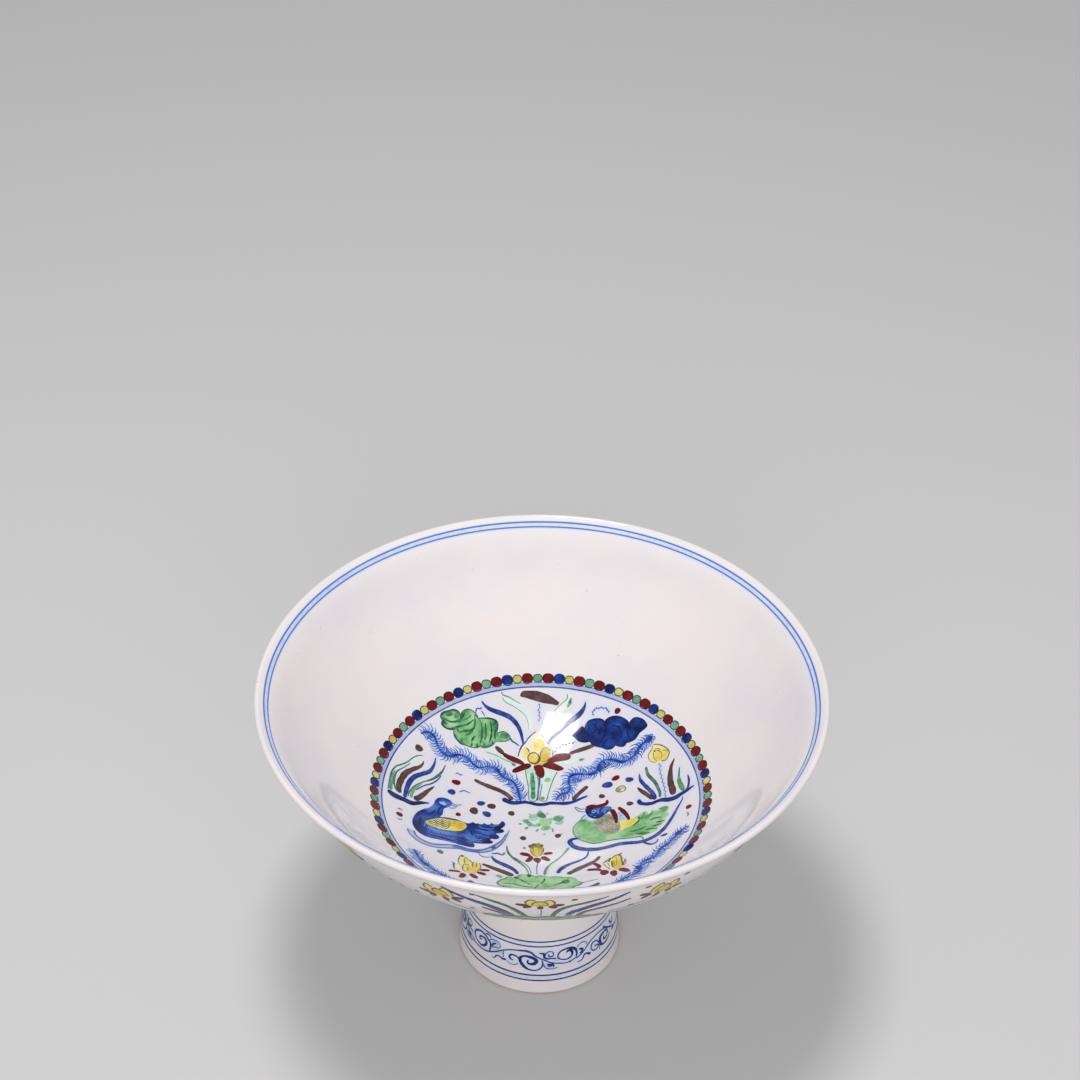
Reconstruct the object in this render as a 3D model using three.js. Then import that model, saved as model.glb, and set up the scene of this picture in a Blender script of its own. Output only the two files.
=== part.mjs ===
// Porcelain stem bowl: an open bowl with an everted rim, set on a hollow spreading foot.
// Millimetres, +Z up, origin at the middle of the foot's resting ring.
import * as THREE from 'three';

// Bowl
const rimDiameter = 170;
const wellDepth = 57.8;
const evertWidth = 8.5;
const evertHeight = 9.86;
const evertAngle = THREE.MathUtils.degToRad(37);
const lipThickness = 1.9;
const wallThickness = 2.2;
const floorThickness = 4.2;
const seatStep = 1.2;
const evertRisingReach = 0.46;
const evertOutwardReach = 0.35;

// Foot
const footHeight = 45.6;
const footDiameter = 51.5;
const neckDiameter = 44.6;
const neckRise = 7.6;
const seatDiameter = 47.8;
const footWall = 3.2;
const footEdge = 0.5;
const footCurveShare = 0.79;
const shoulderShare = 0.3;

// Luting slip between the two
const jointThickness = 0.6;
const jointWidth = 4.8;
const jointBulge = 0.35;
const jointClearance = 0.3;

// Fineness of the turned surfaces
const turnSegments = 72;
const wellSteps = 14;
const evertSteps = 7;
const lipSteps = 4;
const undersideSteps = 4;
const footSteps = 9;
const neckSteps = 4;
const beadSteps = 4;

// Glazes
const bowlColour = 0xf1ebe9;
const bowlRoughness = 0.14;
const footColour = 0xece5e4;
const footRoughness = 0.16;
const slipColour = 0xe6dfda;
const slipRoughness = 0.3;

const rimRadius = rimDiameter / 2;
const footRadius = footDiameter / 2;
const neckRadius = neckDiameter / 2;
const seatRadius = seatDiameter / 2;
const lipRadius = lipThickness / 2;
const hollowRadius = neckRadius - footWall;

// The slip covers the seat from its edge inwards, and the hollow of the foot opens inside it.
const seatHollow = seatRadius - jointWidth;

// The well is one round arc from the middle of the floor to where the rim starts to turn out.
const evertStart = rimRadius - evertWidth;
const arcRise = wellDepth - evertHeight;
const wellRadius = (evertStart ** 2 + arcRise ** 2) / (2 * arcRise);
const arcEnd = Math.atan2(evertStart, wellRadius - arcRise);

// Points of a curve of the profile, each with the direction that points into the clay.
function clayPoint(curve, share) {
  const point = curve.getPoint(share);
  const along = curve.getTangent(share);
  return { point, into: new THREE.Vector2(along.y, -along.x) };
}

// Inside surface of the bowl, from the floor's middle (0, 0) out to the lip.
function insideOfBowl() {
  const arc = new THREE.EllipseCurve(0, wellRadius, wellRadius, wellRadius, -Math.PI / 2,
    -Math.PI / 2 + arcEnd, false, 0);
  const start = new THREE.Vector2(evertStart, arcRise);
  const rising = new THREE.Vector2(Math.cos(arcEnd), Math.sin(arcEnd));
  const outward = new THREE.Vector2(Math.cos(evertAngle), Math.sin(evertAngle));
  const lipCentre = new THREE.Vector2(rimRadius - lipRadius, wellDepth - lipRadius);
  const end = new THREE.Vector2(-outward.y, outward.x).multiplyScalar(lipRadius).add(lipCentre);
  const reach = start.distanceTo(end);
  const evert = new THREE.CubicBezierCurve(
    start,
    start.clone().addScaledVector(rising, evertRisingReach * reach),
    end.clone().addScaledVector(outward, -evertOutwardReach * reach),
    end,
  );
  const points = [];
  for (let i = 0; i < wellSteps; i += 1) {
    points.push(clayPoint(arc, i / wellSteps));
  }
  for (let i = 0; i <= evertSteps; i += 1) {
    points.push(clayPoint(evert, i / evertSteps));
  }
  return { points, lipCentre, outward };
}

// Wall thickness at a radius: full at the floor's middle, even in the wall, thinner at the lip.
function thicknessAt(radius) {
  if (radius > evertStart) {
    const share = (radius - evertStart) / evertWidth;
    return THREE.MathUtils.lerp(wallThickness, lipThickness, share);
  }
  return wallThickness + (floorThickness - wallThickness) * (1 - radius / evertStart) ** 2;
}

// Outside surface at the points given, as a list that runs from the middle outwards.
function outsideOfBowl(inside) {
  return inside.map(({ point, into }) => point.clone().addScaledVector(into, thicknessAt(point.x)));
}

// Height of the outside surface at a radius, found between its two nearest points.
function outsideHeight(outside, radius) {
  const next = outside.findIndex((point) => point.x > radius);
  const a = outside[next - 1];
  const b = outside[next];
  return THREE.MathUtils.mapLinear(radius, a.x, b.x, a.y, b.y);
}

const { points: inside, lipCentre, outward } = insideOfBowl();
const outside = outsideOfBowl(inside);
const seatHeight = outsideHeight(outside, seatRadius) - seatStep;
const seatInner = seatHollow - jointClearance;

// A profile turned about the Z axis into a closed solid.
function turned(name, profile, colour, roughness) {
  const geometry = new THREE.LatheGeometry(profile, turnSegments);
  geometry.rotateX(Math.PI / 2);
  const material = new THREE.MeshStandardMaterial({ color: colour, roughness, metalness: 0 });
  const mesh = new THREE.Mesh(geometry, material);
  mesh.name = name;
  return mesh;
}

// Bowl: underside, trimmed seat, outside, lip and inside, from axis to axis.
function bowlBody() {
  const profile = [];
  const undersideMiddle = -floorThickness;
  for (let i = 0; i <= undersideSteps; i += 1) {
    const share = i / undersideSteps;
    const height = THREE.MathUtils.lerp(undersideMiddle, seatHeight, share ** 2);
    profile.push(new THREE.Vector2(seatInner * share, height));
  }
  profile.push(new THREE.Vector2(seatRadius, seatHeight));
  profile.push(new THREE.Vector2(seatRadius, outsideHeight(outside, seatRadius)));
  const wall = outside.filter((point) => point.x > seatRadius + wallThickness);
  profile.push(...wall.slice(0, -1));
  const outerEdge = Math.atan2(-outward.x, outward.y);
  for (let i = 0; i <= lipSteps; i += 1) {
    const turn = outerEdge + (Math.PI * i) / lipSteps;
    const edge = new THREE.Vector2(Math.cos(turn), Math.sin(turn));
    profile.push(edge.multiplyScalar(lipRadius).add(lipCentre));
  }
  const well = inside.map(({ point }) => point).reverse();
  profile.push(...well.slice(1, -1));
  profile.push(new THREE.Vector2(0, 0));
  return turned('bowl_body', profile, bowlColour, bowlRoughness);
}

// Foot: a hollow cylinder that spreads to its resting ring and widens again under the bowl.
function stemFoot() {
  const neckHeight = footHeight - neckRise;
  const skirt = (ring, neck, from) => new THREE.QuadraticBezierCurve(
    new THREE.Vector2(ring, from),
    new THREE.Vector2(neck, footCurveShare * neckHeight),
    new THREE.Vector2(neck, neckHeight),
  );
  const shoulder = new THREE.QuadraticBezierCurve(
    new THREE.Vector2(neckRadius, neckHeight),
    new THREE.Vector2(neckRadius, footHeight - shoulderShare * neckRise),
    new THREE.Vector2(seatRadius, footHeight),
  );
  const outer = skirt(footRadius, neckRadius, footEdge).getPoints(footSteps);
  const inner = skirt(footRadius - footWall, hollowRadius, footEdge).getPoints(footSteps);
  const profile = [
    new THREE.Vector2(footRadius - footWall + footEdge, 0),
    new THREE.Vector2(footRadius - footEdge, 0),
    ...outer,
    ...shoulder.getPoints(neckSteps).slice(1),
    new THREE.Vector2(seatHollow, footHeight),
    ...inner.reverse(),
    new THREE.Vector2(footRadius - footWall + footEdge, 0),
  ];
  return turned('stem_foot', profile, footColour, footRoughness);
}

// Luting slip: a thin ring whose outer edge was squeezed out into a low bead.
function lutingJoint() {
  const profile = [new THREE.Vector2(seatHollow, 0)];
  for (let i = 0; i <= beadSteps; i += 1) {
    const share = i / beadSteps;
    const bulge = jointBulge * Math.sin(Math.PI * share);
    profile.push(new THREE.Vector2(seatRadius + bulge, jointThickness * share));
  }
  profile.push(new THREE.Vector2(seatHollow, jointThickness));
  profile.push(new THREE.Vector2(seatHollow, 0));
  return turned('luting_joint', profile, slipColour, slipRoughness);
}

const stemBowl = new THREE.Group();
const foot = stemFoot();
stemBowl.add(foot);

const joint = lutingJoint();
joint.position.z = footHeight;
stemBowl.add(joint);

const bowl = bowlBody();
bowl.position.z = footHeight + jointThickness - seatHeight;
stemBowl.add(bowl);

export default stemBowl;
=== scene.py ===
import bpy
import bmesh
import math
import random
import numpy as np
from mathutils import Matrix, Vector, noise
from mathutils.geometry import delaunay_2d_cdt


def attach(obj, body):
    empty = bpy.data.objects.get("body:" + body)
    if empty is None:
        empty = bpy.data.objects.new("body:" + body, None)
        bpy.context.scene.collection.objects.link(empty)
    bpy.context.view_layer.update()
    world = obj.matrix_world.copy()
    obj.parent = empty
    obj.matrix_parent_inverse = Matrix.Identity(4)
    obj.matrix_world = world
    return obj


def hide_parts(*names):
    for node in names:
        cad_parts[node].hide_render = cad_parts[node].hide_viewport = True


# Porcelain stem bowl. Lengths in this file are millimetres until a mesh is written in metres.
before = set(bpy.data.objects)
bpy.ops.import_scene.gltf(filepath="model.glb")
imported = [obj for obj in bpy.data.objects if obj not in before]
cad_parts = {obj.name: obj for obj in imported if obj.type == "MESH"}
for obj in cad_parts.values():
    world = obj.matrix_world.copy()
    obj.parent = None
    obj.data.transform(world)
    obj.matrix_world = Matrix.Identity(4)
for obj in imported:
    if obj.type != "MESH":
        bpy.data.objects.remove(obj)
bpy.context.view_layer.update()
random.seed(7)

# Bowl
RIM_RADIUS = 84.985
WELL_DEPTH = 57.79
EVERT_WIDTH = 8.5
EVERT_HEIGHT = 9.86
EVERT_ANGLE = math.radians(37)
RISING_REACH = 0.46
OUTWARD_REACH = 0.35
LIP_THICKNESS = 1.9
WALL = 2.2
FLOOR = 4.2
FLOOR_HEIGHT = 47.2
OUTSIDE_START = 23.2

# Foot, its seat under the bowl, and the slip between the two
FOOT_HEIGHT = 45.6
FOOT_RADIUS = 25.75
FOOT_WALL = 3.2
FOOT_EDGE = 0.5
NECK_RADIUS = 22.3
NECK_HEIGHT = 38.0
NECK_RISE = 7.6
SKIRT_CURVE = 0.79
SHOULDER_CURVE = 0.3
SEAT_RADIUS = 23.9
SEAT_HEIGHT = 46.2
SEAT_WIDTH = 4.8
SLIP_THICKNESS = 0.6
SLIP_BULGE = 0.34

# Height of each coat over the clay, swell of a line's middle, and depth that all coats reach
WASH = 0.03
FILL = 0.045
LINE = 0.06
OVER = 0.075
EDGING = LINE + 0.012
CROWN = 0.006
CROWN_SHARE = 0.012
SUNK = -0.02

# Steps along strokes, washes, fills and weeds, and steps from one given point to the next
STROKE_STEP = 0.4
WASH_STEP = 0.6
FILL_STEP = 0.5
WEED_STEP = 0.7
CURVE_STEPS = 8

# Gap that the points within a fill keep from its outline
EDGE_GAP = 0.35

# Radii at which the outside of the bowl and of the foot are laid flat for painting
FRIEZE_RADIUS = 75.0
FOOT_TURN = 24.5


def rgb(r, g, b):
    """Linear colour of an sRGB colour given from 0 to 255."""
    def channel(c):
        c /= 255
        return c / 12.92 if c <= 0.04045 else ((c + 0.055) / 1.055) ** 2.4
    return (channel(r), channel(g), channel(b), 1.0)


# Profiles
def bezier(points, t):
    """Point of a Bezier curve, found between its control points until one is left."""
    points = list(points)
    while len(points) > 1:
        points = [a + (b - a) * t for a, b in zip(points, points[1:])]
    return points[0]


def lengths(points):
    """Length along a path at each of its points."""
    return np.concatenate([[0], np.cumsum(np.hypot(*np.diff(points, axis=0).T))])


def inside_profile(arc_steps=150, evert_steps=24):
    """Inside of the bowl as rows (radius, height, direction along), floor's middle to the lip."""
    start = np.array([RIM_RADIUS - EVERT_WIDTH, WELL_DEPTH - EVERT_HEIGHT])
    radius = (start[0] ** 2 + start[1] ** 2) / (2 * start[1])
    end_angle = math.atan2(start[0], radius - start[1])
    rows = []
    for i in range(arc_steps):
        a = end_angle * i / arc_steps
        rows.append((radius * math.sin(a), radius * (1 - math.cos(a)), math.cos(a), math.sin(a)))
    rising = np.array([math.cos(end_angle), math.sin(end_angle)])
    outward = np.array([math.cos(EVERT_ANGLE), math.sin(EVERT_ANGLE)])
    lip = np.array([RIM_RADIUS, WELL_DEPTH]) - LIP_THICKNESS / 2
    end = lip + LIP_THICKNESS / 2 * np.array([-outward[1], outward[0]])
    reach = np.linalg.norm(end - start)
    control = [start, start + RISING_REACH * reach * rising, end - OUTWARD_REACH * reach * outward, end]
    for i in range(evert_steps + 1):
        t = i / evert_steps
        point = bezier(control, t)
        ahead = min(t + 1e-4, 1)
        along = bezier(control, ahead) - bezier(control, ahead - 1e-4)
        along /= np.linalg.norm(along)
        rows.append((*point, *along))
    rows = np.array(rows)
    rows[:, 1] += FLOOR_HEIGHT
    return rows, lip + np.array([0, FLOOR_HEIGHT]), outward


def outside_profile(inside):
    """Outside of the bowl as rows like the inside's, one wall away from it."""
    radius, height, along_r, along_z = inside.T
    share = radius / (RIM_RADIUS - EVERT_WIDTH)
    thick = np.where(share < 1, WALL + (FLOOR - WALL) * (1 - share) ** 2,
                     WALL + (LIP_THICKNESS - WALL) * (radius - RIM_RADIUS + EVERT_WIDTH) / EVERT_WIDTH)
    rows = np.stack([radius + along_z * thick, height - along_r * thick, along_r, along_z], 1)
    return rows[rows[:, 0] > OUTSIDE_START]


def foot_profile(ring, neck, seat, skirt_steps=60, neck_steps=12):
    """Side of the foot as rows (radius, height), resting ring to seat."""
    shoulder_height = FOOT_HEIGHT - SHOULDER_CURVE * NECK_RISE
    skirt = np.array([(ring, FOOT_EDGE), (neck, SKIRT_CURVE * NECK_HEIGHT), (neck, NECK_HEIGHT)])
    shoulder = np.array([(neck, NECK_HEIGHT), (neck, shoulder_height), (seat, FOOT_HEIGHT)])
    rows = [bezier(skirt, i / skirt_steps) for i in range(skirt_steps + 1)]
    rows += [bezier(shoulder, i / neck_steps) for i in range(1, neck_steps + 1)]
    return np.array(rows)


INSIDE, LIP, OUTWARD = inside_profile()
OUTSIDE = outside_profile(INSIDE)
SLANT = lengths(OUTSIDE[:, :2])
FOOT = foot_profile(FOOT_RADIUS, NECK_RADIUS, SEAT_RADIUS)


def on_well(x, y, lift):
    """Point over the inside of the bowl above (x, y)."""
    r = math.hypot(x, y)
    z, c, s = [np.interp(r, INSIDE[:, 0], INSIDE[:, i]) for i in (1, 2, 3)]
    k = 1 - s * lift / r if r > 1e-6 else 1
    return (x * k, y * k, z + c * lift)


def on_outside(x, s, lift):
    """Point over the outside of the bowl, x along the round from the front, s up the slant."""
    radius, height, c, n = [np.interp(s, SLANT, OUTSIDE[:, i]) for i in range(4)]
    r = radius + n * lift
    a = x / FRIEZE_RADIUS
    return (r * math.sin(a), -r * math.cos(a), height - c * lift)


def on_foot(x, z, lift):
    """Point over the outside of the foot, x along the round from the front."""
    r = np.interp(z, FOOT[:, 1], FOOT[:, 0]) + lift
    a = x / FOOT_TURN
    return (r * math.sin(a), -r * math.cos(a), z)


# Paths of the brush
def read(text):
    """Points of a line of "x,y" pairs. A slash after a point makes it a corner, shown by None."""
    return [None if pair == "/" else tuple(float(n) for n in pair.split(",")) for pair in text.split()]


def with_corners(points, step, closed):
    """The curve of smooth(), made in runs that meet at the corners."""
    runs = [[]]
    for point in list(points) + ([points[0]] if closed else []):
        if point is None:
            runs.append([runs[-1][-1]])
        else:
            runs[-1].append(point)
    runs = [smooth(run, step)[0] for run in runs if len(run) > 1]
    path = np.vstack([run[:-1] for run in runs] + ([] if closed else [runs[-1][-1:]]))
    return path, lengths(path)


def smooth(points, step, closed=False):
    """Points at even steps along a curve through the given ones, soft except at its corners."""
    if any(point is None for point in points):
        return with_corners(points, step, closed)
    p = np.array(points, float)
    if closed:
        p = np.vstack([p[-1], p, p[0], p[1]])
    else:
        p = np.vstack([2 * p[0] - p[1], p, 2 * p[-1] - p[-2]])
    t = np.linspace(0, 1, CURVE_STEPS + 1)[:-1, None]
    fine = [0.5 * (2 * b + (c - a) * t + (2 * a - 5 * b + 4 * c - d) * t ** 2
                   + (3 * b - a - 3 * c + d) * t ** 3) for a, b, c, d in zip(p, p[1:], p[2:], p[3:])]
    fine = np.vstack(fine + [p[-2:-1]])
    length = lengths(fine)
    at = np.linspace(0, length[-1], max(3, int(round(length[-1] / step)) + 1))
    path = np.stack([np.interp(at, length, fine[:, 0]), np.interp(at, length, fine[:, 1])], 1)
    return (path[:-1], at[:-1]) if closed else (path, at)


def directions(path, closed=False):
    """Unit vectors along a path and to its left, at each of its points."""
    along = np.roll(path, -1, 0) - np.roll(path, 1, 0) if closed else np.gradient(path, axis=0)
    along /= np.maximum(np.hypot(along[:, 0], along[:, 1]), 1e-9)[:, None]
    return along, np.stack([-along[:, 1], along[:, 0]], 1)


def inside(p, path):
    """Whether a point lies within a closed path."""
    x, y = p
    x1, y1 = path[:, 0], path[:, 1]
    x2, y2 = np.roll(x1, -1), np.roll(y1, -1)
    with np.errstate(divide="ignore", invalid="ignore"):
        hit = ((y1 > y) != (y2 > y)) & (x < (x2 - x1) * (y - y1) / (y2 - y1) + x1)
    return bool(np.count_nonzero(hit) % 2)


def drift(x, y, z):
    """Soft noise, from -1 to 1."""
    return noise.noise(Vector((x, y, z)))


def line_faces(count, closed):
    """Faces of a line made of five-sided sections, with both ends shut unless it closes."""
    faces = []
    for i in range(count if closed else count - 1):
        a, b = 5 * i, 5 * ((i + 1) % count)
        faces += [(a + k, a + (k + 1) % 5, b + (k + 1) % 5, b + k) for k in range(5)]
    if not closed:
        faces += [(4, 3, 2, 1, 0), tuple(5 * (count - 1) + k for k in range(5))]
    return faces


class Mesh:
    """Vertices, faces and ink tones gathered for one piece."""

    def __init__(self):
        self.points, self.faces, self.tones = [], [], []

    def add(self, points, faces, tones):
        base = len(self.points)
        self.points += points
        self.faces += [tuple(base + i for i in face) for face in faces]
        self.tones += tones


# The tint that a colour bleeds into the glaze round it, and how strongly
HALOS = {"blue": ("blue", 0.5), "sky": ("blue", 0.3), "cobalt": ("blue", 0.5), "pale": ("blue", 0.3),
         "teal": ("green", 0.35), "green": ("green", 0.5), "red": ("red", 0.35)}


class Field:
    """A painted field: strokes and fills on one surface, gathered by colour.

    place lays a flat point on the surface. On a surface that was unrolled, turned is the radius
    that it was unrolled at, and drawings give their x in degrees round from the front. Tones run
    from 0, pale, to 1, dark.
    """

    def __init__(self, name, place, turned=None):
        self.name, self.place, self.turned = name, place, turned
        self.across = turned * math.pi / 180 if turned else 1.0
        self.shift = 0.0
        self.meshes, self.halos = {}, {"blue": [], "green": [], "red": []}
        self.seed = 1

    def points(self, text):
        """Points of a line in the field. An array is taken as placed already."""
        if isinstance(text, np.ndarray):
            return [tuple(q) for q in text]
        points = read(text) if isinstance(text, str) else text
        return [q and (q[0] * self.across + self.shift, q[1]) for q in points]

    def mesh(self, colour):
        return self.meshes.setdefault(colour, Mesh())

    def stroke(self, colour, text, width, tone=0.5, lift=LINE, halo=None, rough=0.08, closed=False):
        """One brush line. width is a number or numbers spread evenly along it."""
        path, at = smooth(self.points(text), STROKE_STEP if lift > WASH else WASH_STEP, closed)
        self.seed += 1
        count = len(path)
        side = directions(path, closed)[1]
        widths = [width] if isinstance(width, (int, float)) else list(width)
        half = np.interp(np.linspace(0, 1, count), np.linspace(0, 1, len(widths)), widths) / 2
        half = half * (1 + rough * np.array([drift(self.seed * 7.3, a * 0.7, 0) * 2 for a in at]))
        if not closed:
            for i, end in enumerate(np.minimum(at, at[-1] - at)):
                if end < half[i]:
                    half[i] *= max(math.sqrt(max(0.0, 1 - (1 - end / half[i]) ** 2)), 0.12)
        points, tones = [], []
        for i in range(count):
            left, right = path[i] + side[i] * half[i], path[i] - side[i] * half[i]
            top = lift + CROWN + CROWN_SHARE * min(half[i], 1)
            points += [self.place(*left, lift), self.place(*path[i], top), self.place(*right, lift),
                       self.place(*right, SUNK), self.place(*left, SUNK)]
            pool = tone + 0.25 * drift(self.seed * 3.1, at[i] * 0.35, 4)
            tones += [pool + 0.1, pool - 0.12, pool + 0.1, pool, pool]
        self.mesh(colour).add(points, line_faces(count, closed), tones)
        group, tint = HALOS.get(colour, (None, 0))
        tint = tint if halo is None else halo
        if tint and group:
            self.halos[group].append((path, float(np.mean(half)) + 0.1, tint))

    def detail(self, colour, text, width, tone=0.95, lift=OVER, closed=False):
        """A line over another coat, from which nothing bleeds into the glaze."""
        self.stroke(colour, text, width, tone, lift, halo=0, closed=closed)

    def fill(self, colour, text, tone=0.5, lift=FILL, spread=0.35, halo=0.0, edge=0.0, grain=1.4, pools=()):
        """A closed area. spread is how far its ink tone drifts from place to place.

        edge is how much the colour gathered along the outline, and pools are places
        (x, y, radius, more tone) where it gathered or thinned.
        """
        path, _ = smooth(self.points(text), FILL_STEP, True)
        self.seed += 1
        rng = random.Random(self.seed)
        low, high = path.min(0), path.max(0)
        spots = []
        for x in np.arange(low[0], high[0], grain):
            for y in np.arange(low[1], high[1], grain):
                spots.append((x + rng.uniform(0.1, 0.4) * grain, y + rng.uniform(0.1, 0.4) * grain))
        spots = [p for p in spots if inside(p, path) and
                 np.min(np.hypot(path[:, 0] - p[0], path[:, 1] - p[1])) > EDGE_GAP]
        rim = len(path)
        outline = [(i, (i + 1) % rim) for i in range(rim)]
        made = delaunay_2d_cdt([Vector(p) for p in (*path, *spots)], outline, [], 1, 1e-4)
        triangles = [face for face in made[2] if len(face) == 3]
        used = sorted({i for face in triangles for i in face})
        index = {old: new for new, old in enumerate(used)}
        triangles = [tuple(index[i] for i in face) for face in triangles]
        flat = [made[0][i] for i in used]
        count = len(flat)
        points = [self.place(x, y, up) for up in (lift, SUNK) for x, y in flat]
        faces = triangles + [tuple(i + count for i in reversed(face)) for face in triangles]
        edges = dict.fromkeys((a, b) for face in triangles for a, b in zip(face, face[1:] + face[:1]))
        faces += [(b, a, a + count, b + count) for a, b in edges if (b, a) not in edges]
        tones = []
        for (x, y), old in zip(flat, used):
            pooled = sum(more * math.exp(-((x - px) ** 2 + (y - py) ** 2) / (2 * r * r))
                         for px, py, r, more in pools)
            drifted = tone + spread * drift(x * 0.3, y * 0.3, self.seed * 5.0)
            tones.append(drifted + pooled + (edge if old < rim else 0.0))
        self.mesh(colour).add(points, faces, tones + tones)
        if halo and colour in HALOS:
            self.halos[HALOS[colour][0]].append((path, 0.1, halo))

    def wash(self, colour, text, tone=0.5, **style):
        """A fill so thin that lines lie over its edge."""
        self.fill(colour, text, tone, WASH, **style)

    def dab(self, colour, x, y, wide, high, turn=0, tone=0.5, lift=LINE, halo=0.0, points=10):
        """One touch of the brush, turned by degrees."""
        c, s = math.cos(math.radians(turn)), math.sin(math.radians(turn))
        outline = []
        for k in range(points):
            t = 2 * math.pi * k / points
            r = 1 + 0.06 * math.sin(3 * t + x * 5)
            u, v = wide / 2 * r * math.cos(t), high / 2 * r * math.sin(t)
            outline.append((x + (u * c - v * s) / self.across, y + u * s + v * c))
        self.fill(colour, outline, tone, lift, 0.15, halo, grain=0.8)

    def ring(self, colour, y, width, tone=0.5, lift=LINE, steps=360):
        """A turned line right round. On the well, y is its radius."""
        points, tones = [], []
        for i in range(steps):
            a = 2 * math.pi * i / steps
            c, s = math.cos(a), math.sin(a)
            half = width / 2 * (1 + 0.12 * drift(c * 6, s * 6, y))
            pool = tone + 0.3 * drift(c * 2.2, s * 2.2, y + 9)
            for off, up in ((half, lift), (0, lift + CROWN), (-half, lift), (-half, SUNK), (half, SUNK)):
                spot = (a * self.turned, y + off) if self.turned else ((y + off) * c, (y + off) * s)
                points.append(self.place(*spot, up))
                tones.append(pool)
        self.mesh(colour).add(points, line_faces(steps, True), tones)

    def petal(self, text, tone=0.4):
        """A red petal with a thin darker line round it."""
        self.fill("red", text, tone, LINE, 0.3)
        self.detail("red", text, 0.3, 0.75, EDGING, closed=True)

    def weed(self, text, up=2.7, down=2.5):
        """A feathery water weed: a pale wash, a wandering spine and curved hairs to both sides."""
        path, at = smooth(self.points(text), WEED_STEP)
        along, side = directions(path)
        centre = path + side * (up - down) * 0.35
        broad = np.array([0.35, 0.8, 0.7, 0.85, 0.75, 0.85, 0.5]) * (up + down)
        for row in ((centre, broad, 0.0, WASH - 0.01, 0.3, 0.3), (centre, broad * 0.66, 0.45, WASH, 0, 0.4),
                    (path, broad * 0.36, 1.0, WASH + 0.01, 0, 0.5)):
            self.stroke("wash", *row)
        spine = (0.3, 0.7, 0.4, 0.95, 0.4, 0.65, 0.35, 1.0, 0.45, 0.85, 0.6)
        self.stroke("sky", path, spine, 0.9, OVER, 0, 0.35)
        rng = random.Random(self.seed)
        for i in range(1, len(path)):
            gather = 0.35 * drift(self.seed, at[i] * 0.16, 8)
            for sign, reach in ((1, up), (-1, down)):
                long = sign * reach * rng.uniform(0.72, 1.2) * min(1, 0.5 + 0.15 * min(i, len(path) - i))
                bend = abs(long) * rng.uniform(0.25, 0.4)
                tip = path[i] + side[i] * long - along[i] * bend
                middle = path[i] + side[i] * long * 0.5 + along[i] * bend * 0.35
                tone = rng.uniform(0.35, 0.75) + gather
                self.stroke("sky", np.array([path[i], middle, tip]), (0.36, 0.33, 0.13), tone, halo=0.12)

    def hatch(self, colour, text, angle, gap, width, tone=0.6, lift=OVER):
        """Slanting strokes side by side that fill an outline."""
        path, _ = smooth(self.points(text), FILL_STEP, True)
        a = math.radians(angle)
        along, side = np.array([math.cos(a), math.sin(a)]), np.array([-math.sin(a), math.cos(a)])
        rng = random.Random(self.seed)
        for d in np.arange((path @ side).min() + gap / 2, (path @ side).max(), gap):
            run = []
            for t in np.arange((path @ along).min() - 0.3, (path @ along).max() + 0.6, 0.3):
                spot = side * (d + 0.12 * math.sin(t * 2 + d * 9)) + along * t
                if inside(spot, path):
                    run.append(spot)
                    continue
                if len(run) > 3:
                    widths = (width * 0.4, width, width * 0.5)
                    self.detail(colour, np.array(run), widths, tone + rng.uniform(-0.25, 0.25), lift)
                run = []

    def sprig(self, text, gap, width, tone=0.5):
        """A thin blue stem with small leaves to one side and the other in turn."""
        path, _ = smooth(self.points(text), gap)
        rng = random.Random(self.seed)
        for i, (a, b) in enumerate(zip(path[:-1], path[1:])):
            along = b - a
            side = np.array([-along[1], along[0]]) * (0.55 if i % 2 else -0.55)
            leaf = np.array([a, a + along * 0.2 + side * 0.5, a + along * 0.35 + side])
            self.stroke("blue", leaf, width * rng.uniform(0.7, 1.2), tone + rng.uniform(-0.25, 0.2))
        self.stroke("blue", path, width * 0.45, tone - 0.25)


# Medallion inside the bowl, and the brushes that paint it
pond = Field("medallion", on_well)
stroke, detail, fill, wash, dab = pond.stroke, pond.detail, pond.fill, pond.wash, pond.dab
petal, weed, hatch, sprig = pond.petal, pond.weed, pond.hatch, pond.sprig

# Slab, leaves and stem at the top
fill("brown", "-6.9,45.8 -6.2,47.2 -4,47.5 -1.5,47.5 .5,47 2.4,46.4 4.3,45.2 5.6,44.2 5,43.4 3,43.8 .6,44.1 "
     "-2,44.7 -5,45.4")
sprig("-.6,43.8 -.9,41.8 -.6,39.8 -.8,38.4", 0.8, 0.42, 0.35)
wash("mint", "-13,46.5 -12.2,45.8 -10.5,45.4 -8.4,44.6 -6,43.7 -4.2,42 -3.2,39.4 -3.1,36.6 -3.9,36 -4.9,38 "
     "-6.2,39.9 -8,41.6 -9.5,42.6 -11.8,43.5 -12.9,45", 0.05, edge=-0.3)
stroke("teal", "-13,46.6 -12.5,45.6 -10.5,45.2 -8.4,44.3 -6.5,43.6", (0.4, 0.3, 0.15), 0.3)
stroke("teal", "-12.7,45 -11.8,43.8 -9.5,42.9 -8,42.2 -5.6,40.6 -4.4,38.5 -4,36", (0.3, 0.25, 0.15), 0.1)
wash("mint", "2,38 3.2,40.8 5,42.8 7.3,44.4 8.2,45.4 8.6,46.6 9.8,45.4 9.4,43.6 7.6,42.2 5.4,40.6 3.8,38.6 "
     "2.6,37.4", 0.05, edge=-0.3)
stroke("teal", "3.8,41.2 5.3,43 7.5,44.5 8.2,45.2 8.3,46.5", (0.15, 0.25, 0.35), 0.2)
stroke("beadgreen", "8.2,42.6 9,43.9 9.5,45.4", (0.5, 1.2, 0.5), 0.7)
stroke("green", "8.9,43.6 9.3,44.6", (0.3, 0.6, 0.3), 0.9, lift=OVER)

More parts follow.
